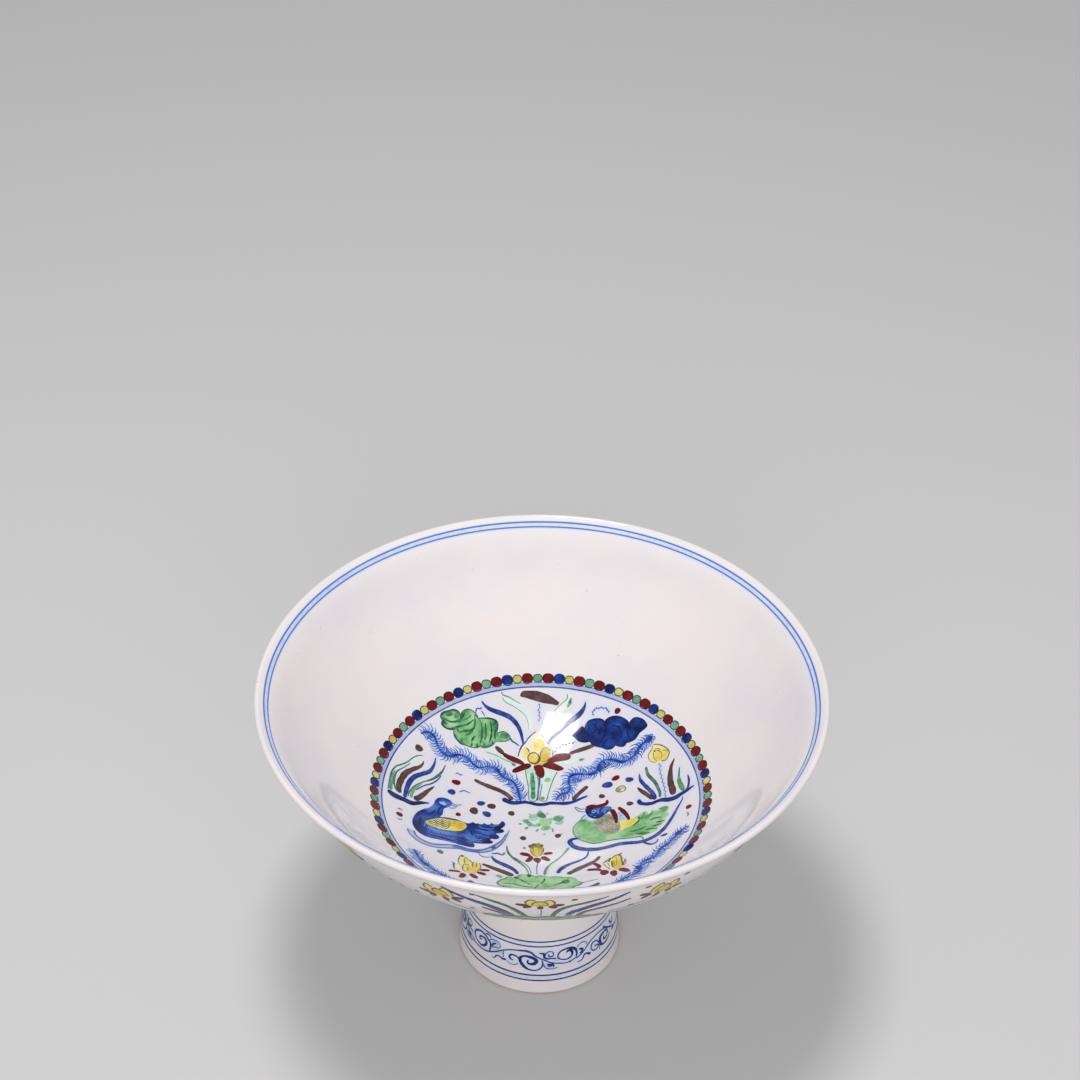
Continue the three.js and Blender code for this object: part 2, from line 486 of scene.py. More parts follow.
# Blue blades above
stroke("blue", "-19.3,42.8 -18,41.6 -16.5,40.9 -14.5,40.5 -12,40 -10,39.3 -8.2,37.8 -7,36 -6.3,34 -5.7,31.2",
       (0.5, 1.2, 1.5, 1.6, 1.4, 1.0, 0.6), 0.55, halo=0.8)
stroke("blue", "2.1,31.3 2.6,32.4 3.3,33.4 4.6,34.5 6.2,35.6 7.6,36.9 8.8,38.1 10.4,39.1 11.9,40.1 13,41.2 "
       "13.8,42.5 14.1,43.8", (1.0, 1.1, 1.2, 1.0, 1.1, 1.5, 1.8, 1.7, 1.1, 0.2), 0.6, halo=0.7)

# Folded green leaf, left
LEAF_LEFT = ("-32,35.2 -31.3,36.2 -29.8,37.2 -28.2,38 -26.8,38.1 -25.8,37.3 / -25,38.6 -23.6,39.5 -22,39.3 "
             "-20.7,38.4 -20.2,37.4 / -18.5,37.9 -16.5,38.1 -14.6,37.8 -13.9,36.5 -14,35 -14.2,33.6 / "
             "-13.2,34.4 -11.8,34.7 -10.4,34 -10,33 -10.6,32 -12,31.6 -14.6,31.2 / -15.4,29.9 -17,28.8 "
             "-18.4,28.4 -19.4,28.7 / -20.6,27.9 -22.4,27.8 -24.2,28 / -25.6,28.3 -27,29.4 -27.8,30.8 "
             "-27.7,32 -27,32.9 / -28.4,32 -30.2,31.8 -31.4,32.4 -31.5,33.4 -30.8,34.2 / -31.6,34 "
             "-32.1,34.6 /")
fill("green", LEAF_LEFT, 0.36, spread=0.75, halo=0.4, edge=0.3)
for line in ("-25.6,28.4 -25.2,29.3 -25.3,30", "-22.4,27.9 -22,28.8 -22.1,29.6",
             "-20.5,28 -20.3,28.9 -20.5,29.8", "-18.4,28.5 -18.1,29.4 -18.3,30.1",
             "-15.4,30 -15.5,30.8 -15.9,31.4", "-27,32.8 -26.4,32 -25.8,31.8",
             "-20.2,37.4 -20.6,38 -21.4,38.2", "-13.9,36.4 -14.6,35.8 -15.2,35.6",
             "-25.8,37.2 -25.6,36.2 -25,35.4"):
    detail("green", line, (0.8, 0.5, 0.2))
for spot in ((-29.5, 36.4, 2.6, 1.5, 30), (-27, 36.8, 1.5, 2.4, -20), (-30.6, 33.3, 1.6, 1.0, 0),
             (-11.8, 33.3, 3.0, 1.9, 10)):
    dab("green", *spot, 0.75)
detail("teal", LEAF_LEFT, 0.3, 0.5, closed=True)
for edge in ("-32,34.6 -32,35.3 -31.3,36.2 -29.8,37.2 -28.2,38 -26.8,38.1 -25.9,37.4",
             "-30.9,34.1 -31.5,33.4 -31.4,32.4 -30.2,31.8 -28.4,32 -27.2,32.7",
             "-27.9,31 -27,29.4 -25.6,28.3 -24.2,28", "-14.1,35 -14,36.5 -14.6,37.8 -16.5,38.1 -18.5,37.9"):
    detail("teal", edge, (0.3, 0.65, 0.45, 0.65, 0.3), 0.8, lift=OVER + 0.004)
for vein in ("-31.4,34.6 -29,34.2 -26.6,35 -24,36.4 -22.4,38", "-28.6,32.4 -26,33.6 -23.4,35 -21.6,36.8",
             "-26.4,31.6 -24.2,32.6 -22.6,33.2 -21.4,34.4 -21.2,36.6 -21.4,38.6",
             "-24,31.2 -22.4,32.6 -21.4,34.4", "-19.4,29.6 -18.9,32 -18.9,34.4 -19.3,36.4 -20.2,37.4",
             "-16.6,30.2 -16,32.6 -15.9,35 -16.4,37.6", "-14.6,31.6 -14.9,33.4 -14.4,35.4",
             "-22.2,29.6 -21.6,31 -20.8,32", "-27.8,34.6 -25.6,36 -24.4,38.4", "-18,31 -17.6,33.6 -18,36.6"):
    detail("green", vein, (0.3, 0.65, 0.5, 0.25))
for row in (("-21,38.8 -20.8,40.3 -19.8,40.4 -19,41", 0.35), ("-19.3,40 -18.6,39.2 -18,38.5", 0.3),
            ("-10,33 -9.3,32 -8,31.3 -7,30.5", (0.6, 0.5, 0.4))):
    stroke("blue", *row)

# Dark blue lobed leaf, right
LEAF_RIGHT = ("9.8,33.9 11.5,35.2 13,36.4 13.9,35.2 / 14.1,36.6 15,37.8 16.6,38.2 18,38.1 19.4,37.6 "
              "20.2,36.8 / 21,37.6 23,37.9 25,37.3 26.8,36 28,34.4 / 28.4,35.2 29.6,35.8 31,35.3 32.4,34.2 "
              "33.4,32.4 32.9,31.7 31,30.8 / 29.6,29.1 28,28.7 27,28.7 / 26.2,27.8 24.8,28 23.6,28.8 / "
              "22.4,27.9 20.8,27.9 19.4,28.8 / 17.8,29.4 16.4,30.2 15.4,31.5 / 13.8,31.4 12,32 11,33")
fill("cobalt", LEAF_RIGHT, 0.85, spread=0.5, halo=0.6,
     pools=((18.2, 36, 1, -0.35), (22.4, 35.2, 1.1, -0.35), (21.4, 29.7, 1.3, -0.3), (25.6, 29.7, 1.1, -0.3),
            (17, 32.6, 1.2, -0.2)))
detail("cobalt", LEAF_RIGHT, 0.4, closed=True)
for arc in ("14,35.4 14.8,33.8 15.6,32.4 15.6,31.6", "20.2,36.8 20.6,35 20.2,33 19.2,31.2 18.2,29.6",
            "16.2,33.8 18,34.8 19.8,34.4", "28,34.4 27.4,32.6 27.6,30.6 28.2,29",
            "23.6,28.8 23.8,30.4 23,32.2 21.4,33.4", "22.4,35.4 24.4,34.4 25.4,32.6 25.2,30.4",
            "19.4,28.8 20,30.4 21.4,31.4", "29.4,33.6 31,33 32.2,32.4", "16,37 17.4,36 17.6,34.8"):
    detail("cobalt", arc, (0.3, 0.6, 0.3), 1.0)
sprig("16.3,39.5 16.7,41 18.3,41.3 20,41 21.2,40.2 21.4,39", 0.8, 0.5)
sprig("4.2,29 5.3,30.2 7,31.1 8.7,31.3 10.8,31.9", 1.0, 0.6)
dab("red", 24.2, 39.3, 2.0, 1.8)

# Great lotus
wash("cream", "-5,32.2 -6.2,30.5 -7,28.5 -7.3,26.9 -6.4,25.6 -5,24.8 -3.8,24.4 -2,24.1 0,24.4 1.8,25.4 "
     "3.2,27 3.6,28.8 3.1,30.2 2.2,31.4 1.2,32.8 -.2,34.6 -1.5,35.4 -2.8,34.6 -4.4,33.2", 0.4,
     pools=((-5.6, 28, 1.6, -0.4), (-1, 33.6, 1.4, -0.4), (0, 25, 1.6, 0.5)))
fill("yellow", "-2.4,29.6 -2.6,31.2 -1.9,32.8 -.6,33.4 .7,32.6 1.2,31 .6,29.6 -1,29.2", 0.35,
     pools=((-0.6, 30.6, 1.2, 0.3),))
fill("yellow", "-.5,27.2 -.3,28.9 .5,29.9 1.5,30.4 2.6,29.8 3.1,28.6 2.9,27.1 2.1,26 .9,25.6 -.2,26.1", 0.75,
     lift=LINE, pools=((1.3, 28, 1.2, 0.25),))
fill("yellow", "-5.9,29.6 -6.3,28.2 -5.9,26.9 -4.9,26.6 -4.2,27.8 -4.2,29.2 -5,30.2", 0.2)
fill("yellow", "-4.1,26.7 -3.6,28.1 -2.4,28.6 -1.2,28.1 -.6,26.7 -1.2,25.2 -2.4,24.8 -3.6,25.3", 0.45,
     lift=LINE)
stroke("amber", "-2.2,24.5 -.6,24.6 .9,25.2 2.2,26.2", (0.5, 1.0, 0.9, 0.5), 0.45)
detail("olive", "-4.2,26.7 -3.7,28 -2.4,28.6 -1.1,28 -.5,26.7 -1.1,25.3 -2.4,24.8 -3.7,25.4", 0.4, 0.5,
       closed=True)
detail("olive", "-3.6,25.4 -2.4,24.8 -1.1,25.3 -.5,26.7 -1,27.9", (0.3, 0.6, 0.75, 0.5), 0.75,
       lift=OVER + 0.01)
for row in (("-.3,27.4 -.2,28.5 .5,29.8 1.4,30.4 2.3,30.1 3,29.2", (0.3, 0.5, 0.4), 0.5),
            ("-4.9,30.3 -4,29.3 -3.8,28.3", (0.3, 0.45, 0.3), 0.5),
            ("-.4,25.9 .8,25.6 2,26.1 2.9,27.3", 0.3, 0.3)):
    detail("olive", *row)
stroke("blue", "-7.3,26.9 -7,28.5 -6.2,30.5 -5,32 -4.2,33.2 -2.8,34.7 -1.6,35.5", (0.3, 0.5, 0.4, 0.3))
stroke("blue", "3.6,27.6 3.7,29 3.1,30.3 2.2,31.4 1.3,32.8 -.1,34.7", 0.3)
petal("-12,27.8 -10.5,27.2 -8.5,26.6 -6.6,25.8 -5.5,24.9 -6,24.4 -7.5,24.7 -9.4,25.3 -11.2,26.3 -12.2,27.2")
stroke("brown", "-14.6,29.6 -13.4,28.6 -11.9,27.5", (1.02, 1.58, 1.47))
petal("-8.9,21.4 -8.7,22.3 -7.4,23.3 -5.6,24.3 -4,24.7 -3.2,24.1 -4,23.2 -5.8,22.4 -7.6,21.5", 0.6)
petal("-2.2,23.8 -.5,24.3 .3,24 .9,22.5 .95,20.8 .3,19.9 -.6,20.2 -1.5,21.8")
petal(".5,24.2 1.5,25 3,25.3 5,24.4 7.1,23 5.7,22.4 3.6,22.9 1.6,23.6", 0.3)
petal("2,25.4 3.2,26.9 5,28 7,28.2 8.9,27.8 9.3,27 8.6,26.1 6.6,25.8 4.6,25.6 3,25", 0.3)
stroke("brown", "9,28 11,28.6 13.5,29.2 17,30", (0.904, 1.36, 1.36, 1.13))
wash("mint", "-18,27.3 -16,27.5 -13.5,26.8 -10.5,25.6 -8.2,24.6 -7.6,23.9 -9,23.6 -12,24.2 -15,25.4", 0.4)
stroke("teal", "-17.5,27.2 -14.5,26.6 -11.5,25.4 -9,24.6", 0.3, 0.1)
dab("teal", -8.7, 24.1, 1.6, 1.0, -20, 0.2)
wash("mint", "5.5,25.6 8,26.2 11,26.3 13.6,26.4 14,25.6 12.4,25 9,24.6 6.8,24.6", 0.3)
dab("teal", 12.8, 25.6, 1.7, 0.9, 8, 0.15)

# Stems of the great lotus and the bank it stands on
wash("mint", "-5,22.3 -4.3,19 -3.9,15 -3.9,12 -3.2,10.9 -2.2,10.9 -1.3,11.5 -.9,14 -.7,18 -1,20 -1.9,22.3 "
     "-3.4,23.6", 0.6)
stroke("teal", "-5,22.5 -4.5,19.5 -3.9,16 -3.9,12.6 -3.4,11 -2.4,10.7 -1.5,11.1 -1.1,12.5 -.8,16 -.9,19.5 "
       "-1.8,21.8", 0.32, 0.3)
stroke("beadgreen", "-2.9,21.6 -2.6,18 -2.4,14 -2.5,11.6", (0.9, 1.6, 1.3, 1.6), 0.7, halo=0)
for y in (20.6, 19, 16.2, 14.6, 12.4):
    detail("green", [(-2.6, y), (-2.45, y - 0.5), (-2.5, y - 1.1)], 0.5)
wash("mint", ".9,20 1.5,22.5 2.8,23.2 4.4,22.6 4.9,21.5 3.8,19.5 3.1,17 2.3,13.5 1.9,11.5 .8,10.8 -.3,11.2 "
     "-.1,13.5 .3,17", 0.2)
stroke("teal", "5.2,22 4,19.5 3.2,17 2.4,14 1.9,11.4 .8,10.9 -.3,11.5 -.1,14 .4,17.6", 0.32, 0.3)
dab("green", 2.1, 19, 2.1, 1.6, 20, 0.15)
dab("olive", 0.6, 12, 1.4, 1.4, 0, 0.1)
stroke("blue", "-.5,20.3 -.4,18 -.8,15 -1,11", 0.5, 0.3)
stroke("brown", "-21,16.6 -19,15.8 -16,14.9 -13,14 -10.5,12.6 -8.8,10.8", (1.02, 1.47, 1.47, 1.58))
stroke("brown", "10,10.8 11,12.2 12.5,13.8 14.8,15.8", (1.47, 1.36, 1.36, 1.24))
stroke("blue", "-12,11 -10.5,10.2 -9,9.7 -7,9.9 -5,10.3 -3,10 -1.5,9.6 0,9.5 1.5,9.7 3,10.1 5,10 7,9.8 "
       "9,9.9 10.5,10.3 12.5,11.2 14.7,12", (1.8, 1.5, 1.2, 1.1, 1.2, 1.1, 1.3, 0.9, 0.6), 0.75, halo=1)

# Water weeds
weed("-38,27 -36.5,28.3 -34.8,28.5 -33.5,27.3 -32.8,25.5 -31.8,24 -30.3,22.9 -28.5,22.9 -27,23.8 -25,24.3 "
     "-23,23.6 -21.5,22.2 -19.5,21.2 -17.5,22 -15.5,22.2 -13.8,21.6 -12.8,20 -11,18.8 -9,18 -7.8,16.5 -7,14 "
     "-6.6,12 -6.3,10.8")
weed("4.8,10.8 5.3,12.3 6.5,13.5 8.2,14 9.2,15.3 8.9,17 8.8,19 9.8,20.4 12,20.6 14,20.2 16,20.4 17.5,21 "
     "18.3,22.5 19,24 21,24.3 23.5,23.5 25.5,22.4 28,22.8 29.8,24 31,26 32.5,27 34,27.4 35.2,28.2")
weed("-38,-22.5 -37,-25 -35.8,-27.8 -33.5,-30.3 -31,-32 -28.5,-34 -25,-36.2 -21,-37.5", 2.2, 2.6)
weed("45,-13 42.5,-14 40.5,-16 38.5,-18.3 36.3,-19.5 35.5,-21.5 34.3,-23.5 32,-23.8 30.2,-25 30,-27.5 "
     "29.5,-29.5 27.5,-31 25,-32 23.5,-33.5 23,-36", 2.6, 2.4)
for spot in ((33.9, 27.6, 2.6, 2.2, 30), (18.4, 21.7, 1.8, 2.6, 10), (16.4, 20.1, 3.4, 1.0, 5),
             (30.2, 24.6, 1.6, 1.8, 40), (-34, -29.6, 2.4, 1.6, -40), (-28.6, -33.8, 2.6, 1.4, -30),
             (41.6, -14.6, 2, 2.2, 40), (38, -18.6, 2.4, 1.4, 30), (32.4, -23.6, 2.2, 1.2, 20),
             (29.2, -27, 1.4, 2.4, 10)):
    dab("sky", *spot, 0.8, lift=LINE + 0.01)
wash("wash", "9.4,19.8 9.8,17.7 11.2,17.2 12.8,17.6 13,19 11.6,19.9", 0.8)
hatch("sky", "9.6,19.7 10,17.9 11.2,17.4 12.6,17.8 12.7,19 11.6,19.7", 75, 0.7, 0.4, 0.9)
hatch("sky", "18.2,24 20.4,23.8 22.2,22.4 21.4,20.8 19.6,20.2 18,20.8", -38, 0.6, 0.4, 0.85)

# Left bank
wash("mint", "-46.9,1.5 -46.8,5 -46.3,9 -45.1,11.8 -43,14 -41.5,15.5 -40.3,17.3 -38.5,19 -37,20 -38.6,17.8 "
     "-40.2,15.6 -42,13.4 -44,11 -45.2,8 -45.2,5 -44.6,2", 0.4, edge=-0.3)
stroke("beadgreen", "-46.2,1.6 -46.3,4.6 -46,7.6 -45.1,10.4", (1.2, 1.3, 0.9, 0.2), 0.75)
stroke("teal", "-46.9,1.5 -46.7,5 -46.2,9 -45.1,11.8 -43,14 -41.5,15.7 -40.3,17.5 -38.7,19.2 -37,20",
       (0.4, 0.5, 0.4, 0.25))
stroke("teal", "-44.4,2.4 -45.3,5 -45.2,8 -44.4,10.6 -42.4,13.2 -40.8,15.4", (0.7, 0.6, 0.35, 0.25))
stroke("brown", "-43.6,2 -43.8,5 -43.2,8 -42,11 -40,13.5 -38,15.4 -37,17 -36.8,18.2",
       (1.5, 1.8, 1.8, 1.6, 1.1, 0.35))
stroke("blue", "-41.9,1 -41.6,4 -40.8,8 -39.3,11 -37,13.2 -35,14.9 -34,16.8 -33.4,18.8 -33.1,21",
       (1.1, 1.3, 1.5, 1.5, 1.3, 0.9, 0.25), 0.55, halo=0.7)
wash("mint", "-41.2,1.6 -40.8,4 -39.4,7.4 -37.2,10 -34.6,12.2 -32.6,14.4 -31.2,16.8 -30.2,19 -30.6,16 "
     "-32.4,13 -34.6,10.6 -37,8 -38.8,5 -39.4,2", 0.4, edge=-0.3)
stroke("beadgreen", "-40,2 -39.8,4.4 -38.6,7 -36.8,9.4", (0.9, 1.1, 0.7, 0.2), 0.6)
stroke("teal", "-41,2 -40.5,4.6 -38.9,7.7 -36.6,10.2 -34,12.4 -32,14.8 -30.8,17 -30,19.4",
       (0.4, 0.4, 0.5, 0.9, 0.3))
stroke("blue", "-38.6,6 -36.4,8.8 -34,10.8 -32.2,13 -31.2,15", (0.3, 0.4, 0.5, 0.3), 0.45)
stroke("brown", "-39,1.8 -37.6,3.4 -36.4,5.2 -35,7.5 -33.1,10", (1.8, 1.75, 1.4, 1.0, 0.3))
stroke("blue", "-46.7,1.4 -46,.4 -44.6,0 -42,0 -40,-.2 -38.5,.4 -37,1.4 -35.5,2.1 -34.4,2.5",
       (1.6, 2.3, 2.0, 1.7, 1.2, 0.4), 0.9)

# Right bank
stroke("brown", "30.1,11.6 31.3,9.8 32.6,8.2 33.8,6.5 34.5,5.2", (0.35, 1.2, 1.35, 1.2, 1.0))
stroke("blue", "30.8,16.6 31,14.5 31.9,12.5 33.2,10.3 34.5,8 35.2,6 35.3,4.6",
       (0.3, 1.0, 1.2, 1.2, 1.35, 1.2), 0.55)
wash("mint", "33.2,18 34.2,15.5 35.4,13.2 36.6,11 37.2,8.5 37.4,5.5 36.4,5.5 36,9 35,12 33.6,14.6", 0.6)
stroke("teal", "32.9,18.4 33.4,15.5 34.5,13.5 35.6,11.5 36.4,9 36.9,7 36.9,5", (0.7, 1.0, 1.0, 0.9, 0.8))
sprig("37.2,18 37.2,15 37.7,12 38.2,9 38.5,6.5 38.4,4", 0.9, 0.36, 0.25)
stroke("brown", "41.7,18 40.6,15.5 40.2,12.5 40.2,9.5 40.7,6.5 41,4", (0.3, 1.1, 1.5, 1.8, 1.95, 1.8))
stroke("green", "42.7,11.6 42.8,8.8 43.4,6.2 44,4.2", (0.3, 1.1, 1.4, 1.0), 0.75)
stroke("blue", "43.1,14 42.8,11 42.9,8", (0.3, 0.5, 0.3))
stroke("blue", "45.4,9.8 45.7,7.5 45.4,5 44.6,3.8", (0.3, 0.7, 0.7, 0.6))
stroke("blue", "30.4,6.7 30.8,5.1 32.5,4 34.5,3.5 36,3.7 37.5,3.6 39.5,2.7 41.5,2.5 43,3 45,3.6 47.2,4.3",
       (1.4, 1.3, 1.3, 1.3, 1.6, 1.7, 1.3, 0.5), 0.75, halo=1)
wash("yellow", "35.3,25.2 36.6,24.8 38,23.8 39.4,22.3 40,21 39.7,19.6 38.7,18.5 37.5,18.9 36.3,18.9 "
     "35.1,19.3 34.1,20.6 33.7,22.3 34.5,23.3 35,24.2", 0.3, edge=-0.25)
fill("yellow", "37.9,21.8 38.9,22.1 39.8,21 39.6,19.7 38.7,18.7 37.7,19.2 38,20.3", edge=-0.2)
fill("yellow", "35.9,21.6 36.6,22.4 37.3,21.7 37.6,20.4 37.3,19.3 36.5,19.3 35.9,20.3", 0.7, lift=LINE,
     edge=-0.2)
fill("yellow", "35.3,24.9 36.4,24.6 37.6,23.6 37.4,22.9 36.6,23.3 35.5,23.7", 0.0, edge=-0.2)
for line, width, tone in (
        ("35.2,25.4 34.9,24.1 34.2,23.2 33.7,22.2 34,20.6 35,19.3 36.2,18.9", (0.25, 0.25, 0.15), 0.2),
        ("37.5,18.9 38.7,18.4 39.8,19.5 40.1,21 39.4,22.4 38,24 36.5,25 35.3,25.4", (0.3, 0.35, 0.25), 0.4),
        ("35.3,22.6 35.3,21.2 35.8,19.9 36.5,19", (0.25, 0.2, 0.12), 0.3),
        ("36.2,23 37.2,22.4 37.8,21.3 37.8,20.1 37.3,19.2", (0.3, 0.24, 0.14), 0.3),
        ("38,22.2 39,22 39.8,21.2", (0.2, 0.28, 0.2), 0.3),
        ("35.6,23.8 36.6,23.5 37.6,22.8", (0.2, 0.3, 0.2), 0.4), ("38,24.4 38.1,23.7", 0.22, 0.3)):
    detail("olive", line, width, tone)
dab("olive", 35.7, 23, 1.0, 0.7, 20, lift=OVER)

# Touches floating between the plants
for colour, x, y, w, h, turn in (
        ("brown", -38.4, 22, 2.5, 2.3, 20), ("red", -26.5, 14, 2.9, 1.9, 8),
        ("blue", -27.8, 9.8, 2.6, 2.1, 20), ("blue", -18.6, 7.8, 2.7, 1.8, 20),
        ("brown", -15.3, 7.3, 2.8, 2.1, 10), ("brown", -20.7, 4.2, 2.6, 3.0, -20),
        ("blue", -16.7, 3.7, 2.8, 2.3, -20), ("red", -25.5, 1.2, 1.8, 1.5, 35),
        ("brown", -9.1, 5.3, 2.1, 2.0, 0), ("brown", -5.3, -5.3, 2.0, 1.9, 0),
        ("brown", 5.4, -4, 2.0, 1.9, 30), ("teal", -30.2, -19.2, 2.0, 2.1, 45),
        ("red", -43, -7.5, 2.1, 1.9, 0), ("red", 23.5, 17.1, 2.6, 1.8, 15),
        ("blue", 20.9, 15.1, 3.5, 2.2, -5), ("blue", 27.7, 15.4, 2.7, 1.8, -20),
        ("brown", 19.1, 11.1, 2.1, 1.6, -25), ("brown", 27.7, 5.9, 2.3, 1.6, -25),
        ("red", 45.2, -3.9, 1.8, 1.8, -40)):
    dab(colour, x, y, w, h, turn, halo=0.5 if colour in ("blue", "red") else 0)
dab("scale", 25, 12.5, 3.0, 2.4, -15, -0.2, lift=WASH)
dab("olive", 24.3, 12.4, 1.4, 1.6, 0, -0.1)
dab("cream", 25.6, 11.9, 1.0, 0.9, 0, 0.3)
detail("olive", "23.4,12.4 24.2,13.4 25.4,13.7 26.4,12.9 26.5,12 25.6,11.4 24.4,11.5", 0.25, 0.5,
       closed=True)
for line in ("-26.8,17 -26.2,17.6 -25.2,17.1 -24.6,17.6", "-25.5,10.5 -24,11.5 -22,11",
             "-43.8,-5.2 -43,-4.8 -42.2,-5.4", "-43.6,-9.6 -42.8,-9.9 -42,-9.3",
             "-18.8,-15 -18.2,-16.2 -17,-16.7 -15,-16.3", "44.6,-6 45,-7.2 44.4,-8"):
    stroke("blue", line, (0.25, 0.4, 0.25), 0.3)
stroke("blue", "-14.9,-14.4 -13.8,-14.1 -13,-13.8 -11.9,-14.3 -11.1,-13.9 -11,-12.8", (0.5, 0.7, 0.4), 0.25,
       halo=0.8)

# Small star plant at the middle
wash("mint", "-5.8,2.2 -4.5,3 -3.2,3.4 -3.3,4.6 -2.2,5.3 -1.2,5.6 -.4,6.6 .6,6.6 1.2,5.6 1.8,4.8 2.4,4 "
     "3.6,3.8 4.6,4.6 6.2,4.6 7.4,4.2 7.2,2.6 6.6,1.4 5,1.2 3.8,1.2 3.2,0 2.8,-1 1.2,-1.5 0,-.8 -.8,0 "
     "-2.4,.2 -3.8,.4 -5,1", 0.35, spread=0.8, edge=-0.3)
fill("green", "-.2,3.4 .8,3.9 2.4,3.7 3.5,2.6 3,1 1.6,.4 .3,.8 -.4,2", 0.0, pools=((1.5, 2.6, 0.8, -0.2),))
for shape, tone in (("-3.3,4.8 -2.6,5.4 -1.5,5.5 -.9,4.8 -1.1,3.9 -2.4,3.6 -3.3,4.1", 0.05),
                    ("-1.2,5.7 -.5,6.8 .4,6.7 1,5.9 1.6,5.2 1.8,4.3 .8,3.9 -.5,4.2 -1.2,5", 0.75),
                    ("-5.6,2.6 -4.6,3 -3.5,2.5 -2.7,1.6 -2.3,.6 -3.6,.3 -4.3,1.1 -5.3,1.8", 0.55),
                    ("-2.6,1.2 -1.4,1.3 -.6,2 .1,1.4 0,.3 -1.2,.2 -2.4,.2", 0.3),
                    ("3.6,3.5 4.5,4.6 5.7,4.7 6.8,4.2 7.3,4 6.9,3 5.9,2.2 5,2.5 4.1,2.9", 0.6),
                    ("4.4,1.9 5.6,2.1 7,2.6 7.1,1.7 6,1 4.8,1.2", -0.1), ("2,3.4 3,3.1 4,3.5 3.2,3.9", 0.6)):
    fill("beadgreen", shape, tone, spread=0.8, edge=-0.25)
fill("green", ".1,-.5 .9,.4 2.3,.8 3.2,.2 2.9,-.9 1.5,-1.5 .3,-1.3", spread=0.6, edge=-0.3)
for spot in ((-0.4, 6.4, 1.3, 0.9, 0), (-0.5, 0.9, 0.9, 1.3, 10), (-3.2, 0.6, 1.3, 0.8, -10),
             (-6.3, 1.1, 1.1, 0.8, 0), (2.1, 5.8, 0.7, 0.8, 20), (5.4, 3.2, 1.2, 0.8, 30)):
    dab("teal", *spot, 0.0)
for row in (("-5.6,2.7 -4.2,3.1 -2,3 -.6,3.7", (0.3, 0.25, 0.15), 0.0),
            ("-3.4,4.9 -3.5,4.1 -2.6,3.6", 0.2, 0.1), ("4,3.6 4.7,4.6 5.8,4.8 7,4.4 7.4,3.6", 0.18, 0.1)):
    stroke("teal", *row, lift=OVER)
for line, width in (("-3.6,5.9 -3.3,5.3 -2.6,4.9", 0.3), ("-.1,7.5 -.2,7 0,6.6", 0.35),
                    ("-4.8,-1.1 -4.3,-.6 -3.7,-.1", 0.8), ("-1.5,-2 -1,-1.5 -.6,-.8", 0.7),
                    ("3.5,-.5 3.8,-1.3 3.9,-2.3", 0.5), ("1,-3.6 1.2,-3.2 1.6,-2.9", 0.6),
                    ("6.1,-3.4 6.5,-3.2 6.9,-3.3", 0.5)):
    stroke("teal", line, width, -0.05)

# Duck on the left
fill("cobalt", "-32.8,4.2 -32,5.7 -30.6,6.5 -29,6.6 -27.8,6 -27.5,5 -28,3.8 -29.2,2.8 -30,1.8 -30.1,.5 "
     "-30.3,-.8 -31,-2 -29,-1.5 -26,-1.2 -23,-1.8 -21.8,-1.6 -21,-.8 / -20,-1.2 -19.2,-.9 -18.4,-1.2 "
     "-17.3,-.3 / -16.6,-.8 -15.4,-.4 -15.2,.5 / -14.6,-.3 -13,0 -12.3,1 -11.7,1.7 / -11.1,1 -10.9,0 "
     "-11.6,-1.2 / -12.3,-1.8 -11.4,-2.2 -11.3,-3.2 -12.4,-3.9 / -13.8,-4.4 -13,-5 -12.6,-6 -13.5,-6.9 "
     "-15,-7 / -15.5,-7.6 -14.5,-8.4 -15,-9.3 -16.5,-9.8 -19,-10.3 -20.6,-10.6 / -20.1,-11.4 -20.3,-12.5 "
     "-21.5,-12.9 -24.5,-12.8 -27.5,-12.6 -30,-12.8 -34,-13.4 -36.3,-12.9 -37.9,-11.7 -38.9,-9.8 -39.1,-7.5 "
     "-38.6,-5 -37.6,-2.8 -36,-.8 -34.4,.6 -33.2,2.5", spread=0.75, halo=0.8,
     pools=((-37.6, -8, 1.6, 0.35), (-33.4, -1, 1.6, -0.15), (-12, 0.3, 1.2, 0.5), (-12.3, -2.8, 1.2, 0.5),
            (-14, -6, 1.3, 0.5), (-16, -8.8, 1.4, 0.5), (-22, -11.8, 2, 0.5), (-21.5, -2.5, 1.4, 0.4),
            (-37, -11, 1.6, 0.5), (-16.5, -4.5, 1.2, -0.5), (-16, -7, 0.9, -0.4), (-20, -9, 1.4, -0.45),
            (-31.5, -10.8, 1.8, -0.3), (-33, 1.5, 1.4, -0.3), (-25, -10.4, 1.4, -0.3)))
WING_LEFT = ("-35.2,-6 -33.8,-4.6 -31,-2.6 -28,-2 -24.5,-1.7 -23.1,-2.3 -22.8,-3.6 -24,-5.6 -26,-6.7 "
             "-28.5,-7.3 -31,-7.7 -33.5,-7.5 -35,-7")
fill("beadyellow", WING_LEFT, 0.1, lift=LINE, spread=0.6,
     pools=((-33.4, -5.8, 1.2, 0.3), (-30, -3.4, 1, 0.25)))
fill("yellow", "-29,-2.4 -27.8,-2.1 -24.5,-1.8 -23.2,-2.4 -22.9,-3.6 -24,-5.4 -26,-6.6 -28.2,-7.2 "
     "-27.6,-5.8 -28.6,-5 -27.9,-3.8", 0.55, lift=LINE + 0.008,
     pools=((-24.5, -3.3, 1.1, 0.5), (-27, -5.5, 1, -0.3)))
hatch("olive", "-35,-6.1 -33.8,-4.8 -31,-2.8 -28.2,-2.2 -27.2,-3.6 -28,-5.4 -28.3,-7.1 -31,-7.5 -33.5,-7.4",
      58, 0.55, 0.32, 0.75)
hatch("olive", "-28,-2.3 -25.6,-2 -25,-3 -26.6,-4.4 -28.2,-4.8", 24, 0.7, 0.2, 0.3)
detail("olive", WING_LEFT, 0.16, 0.3, closed=True)
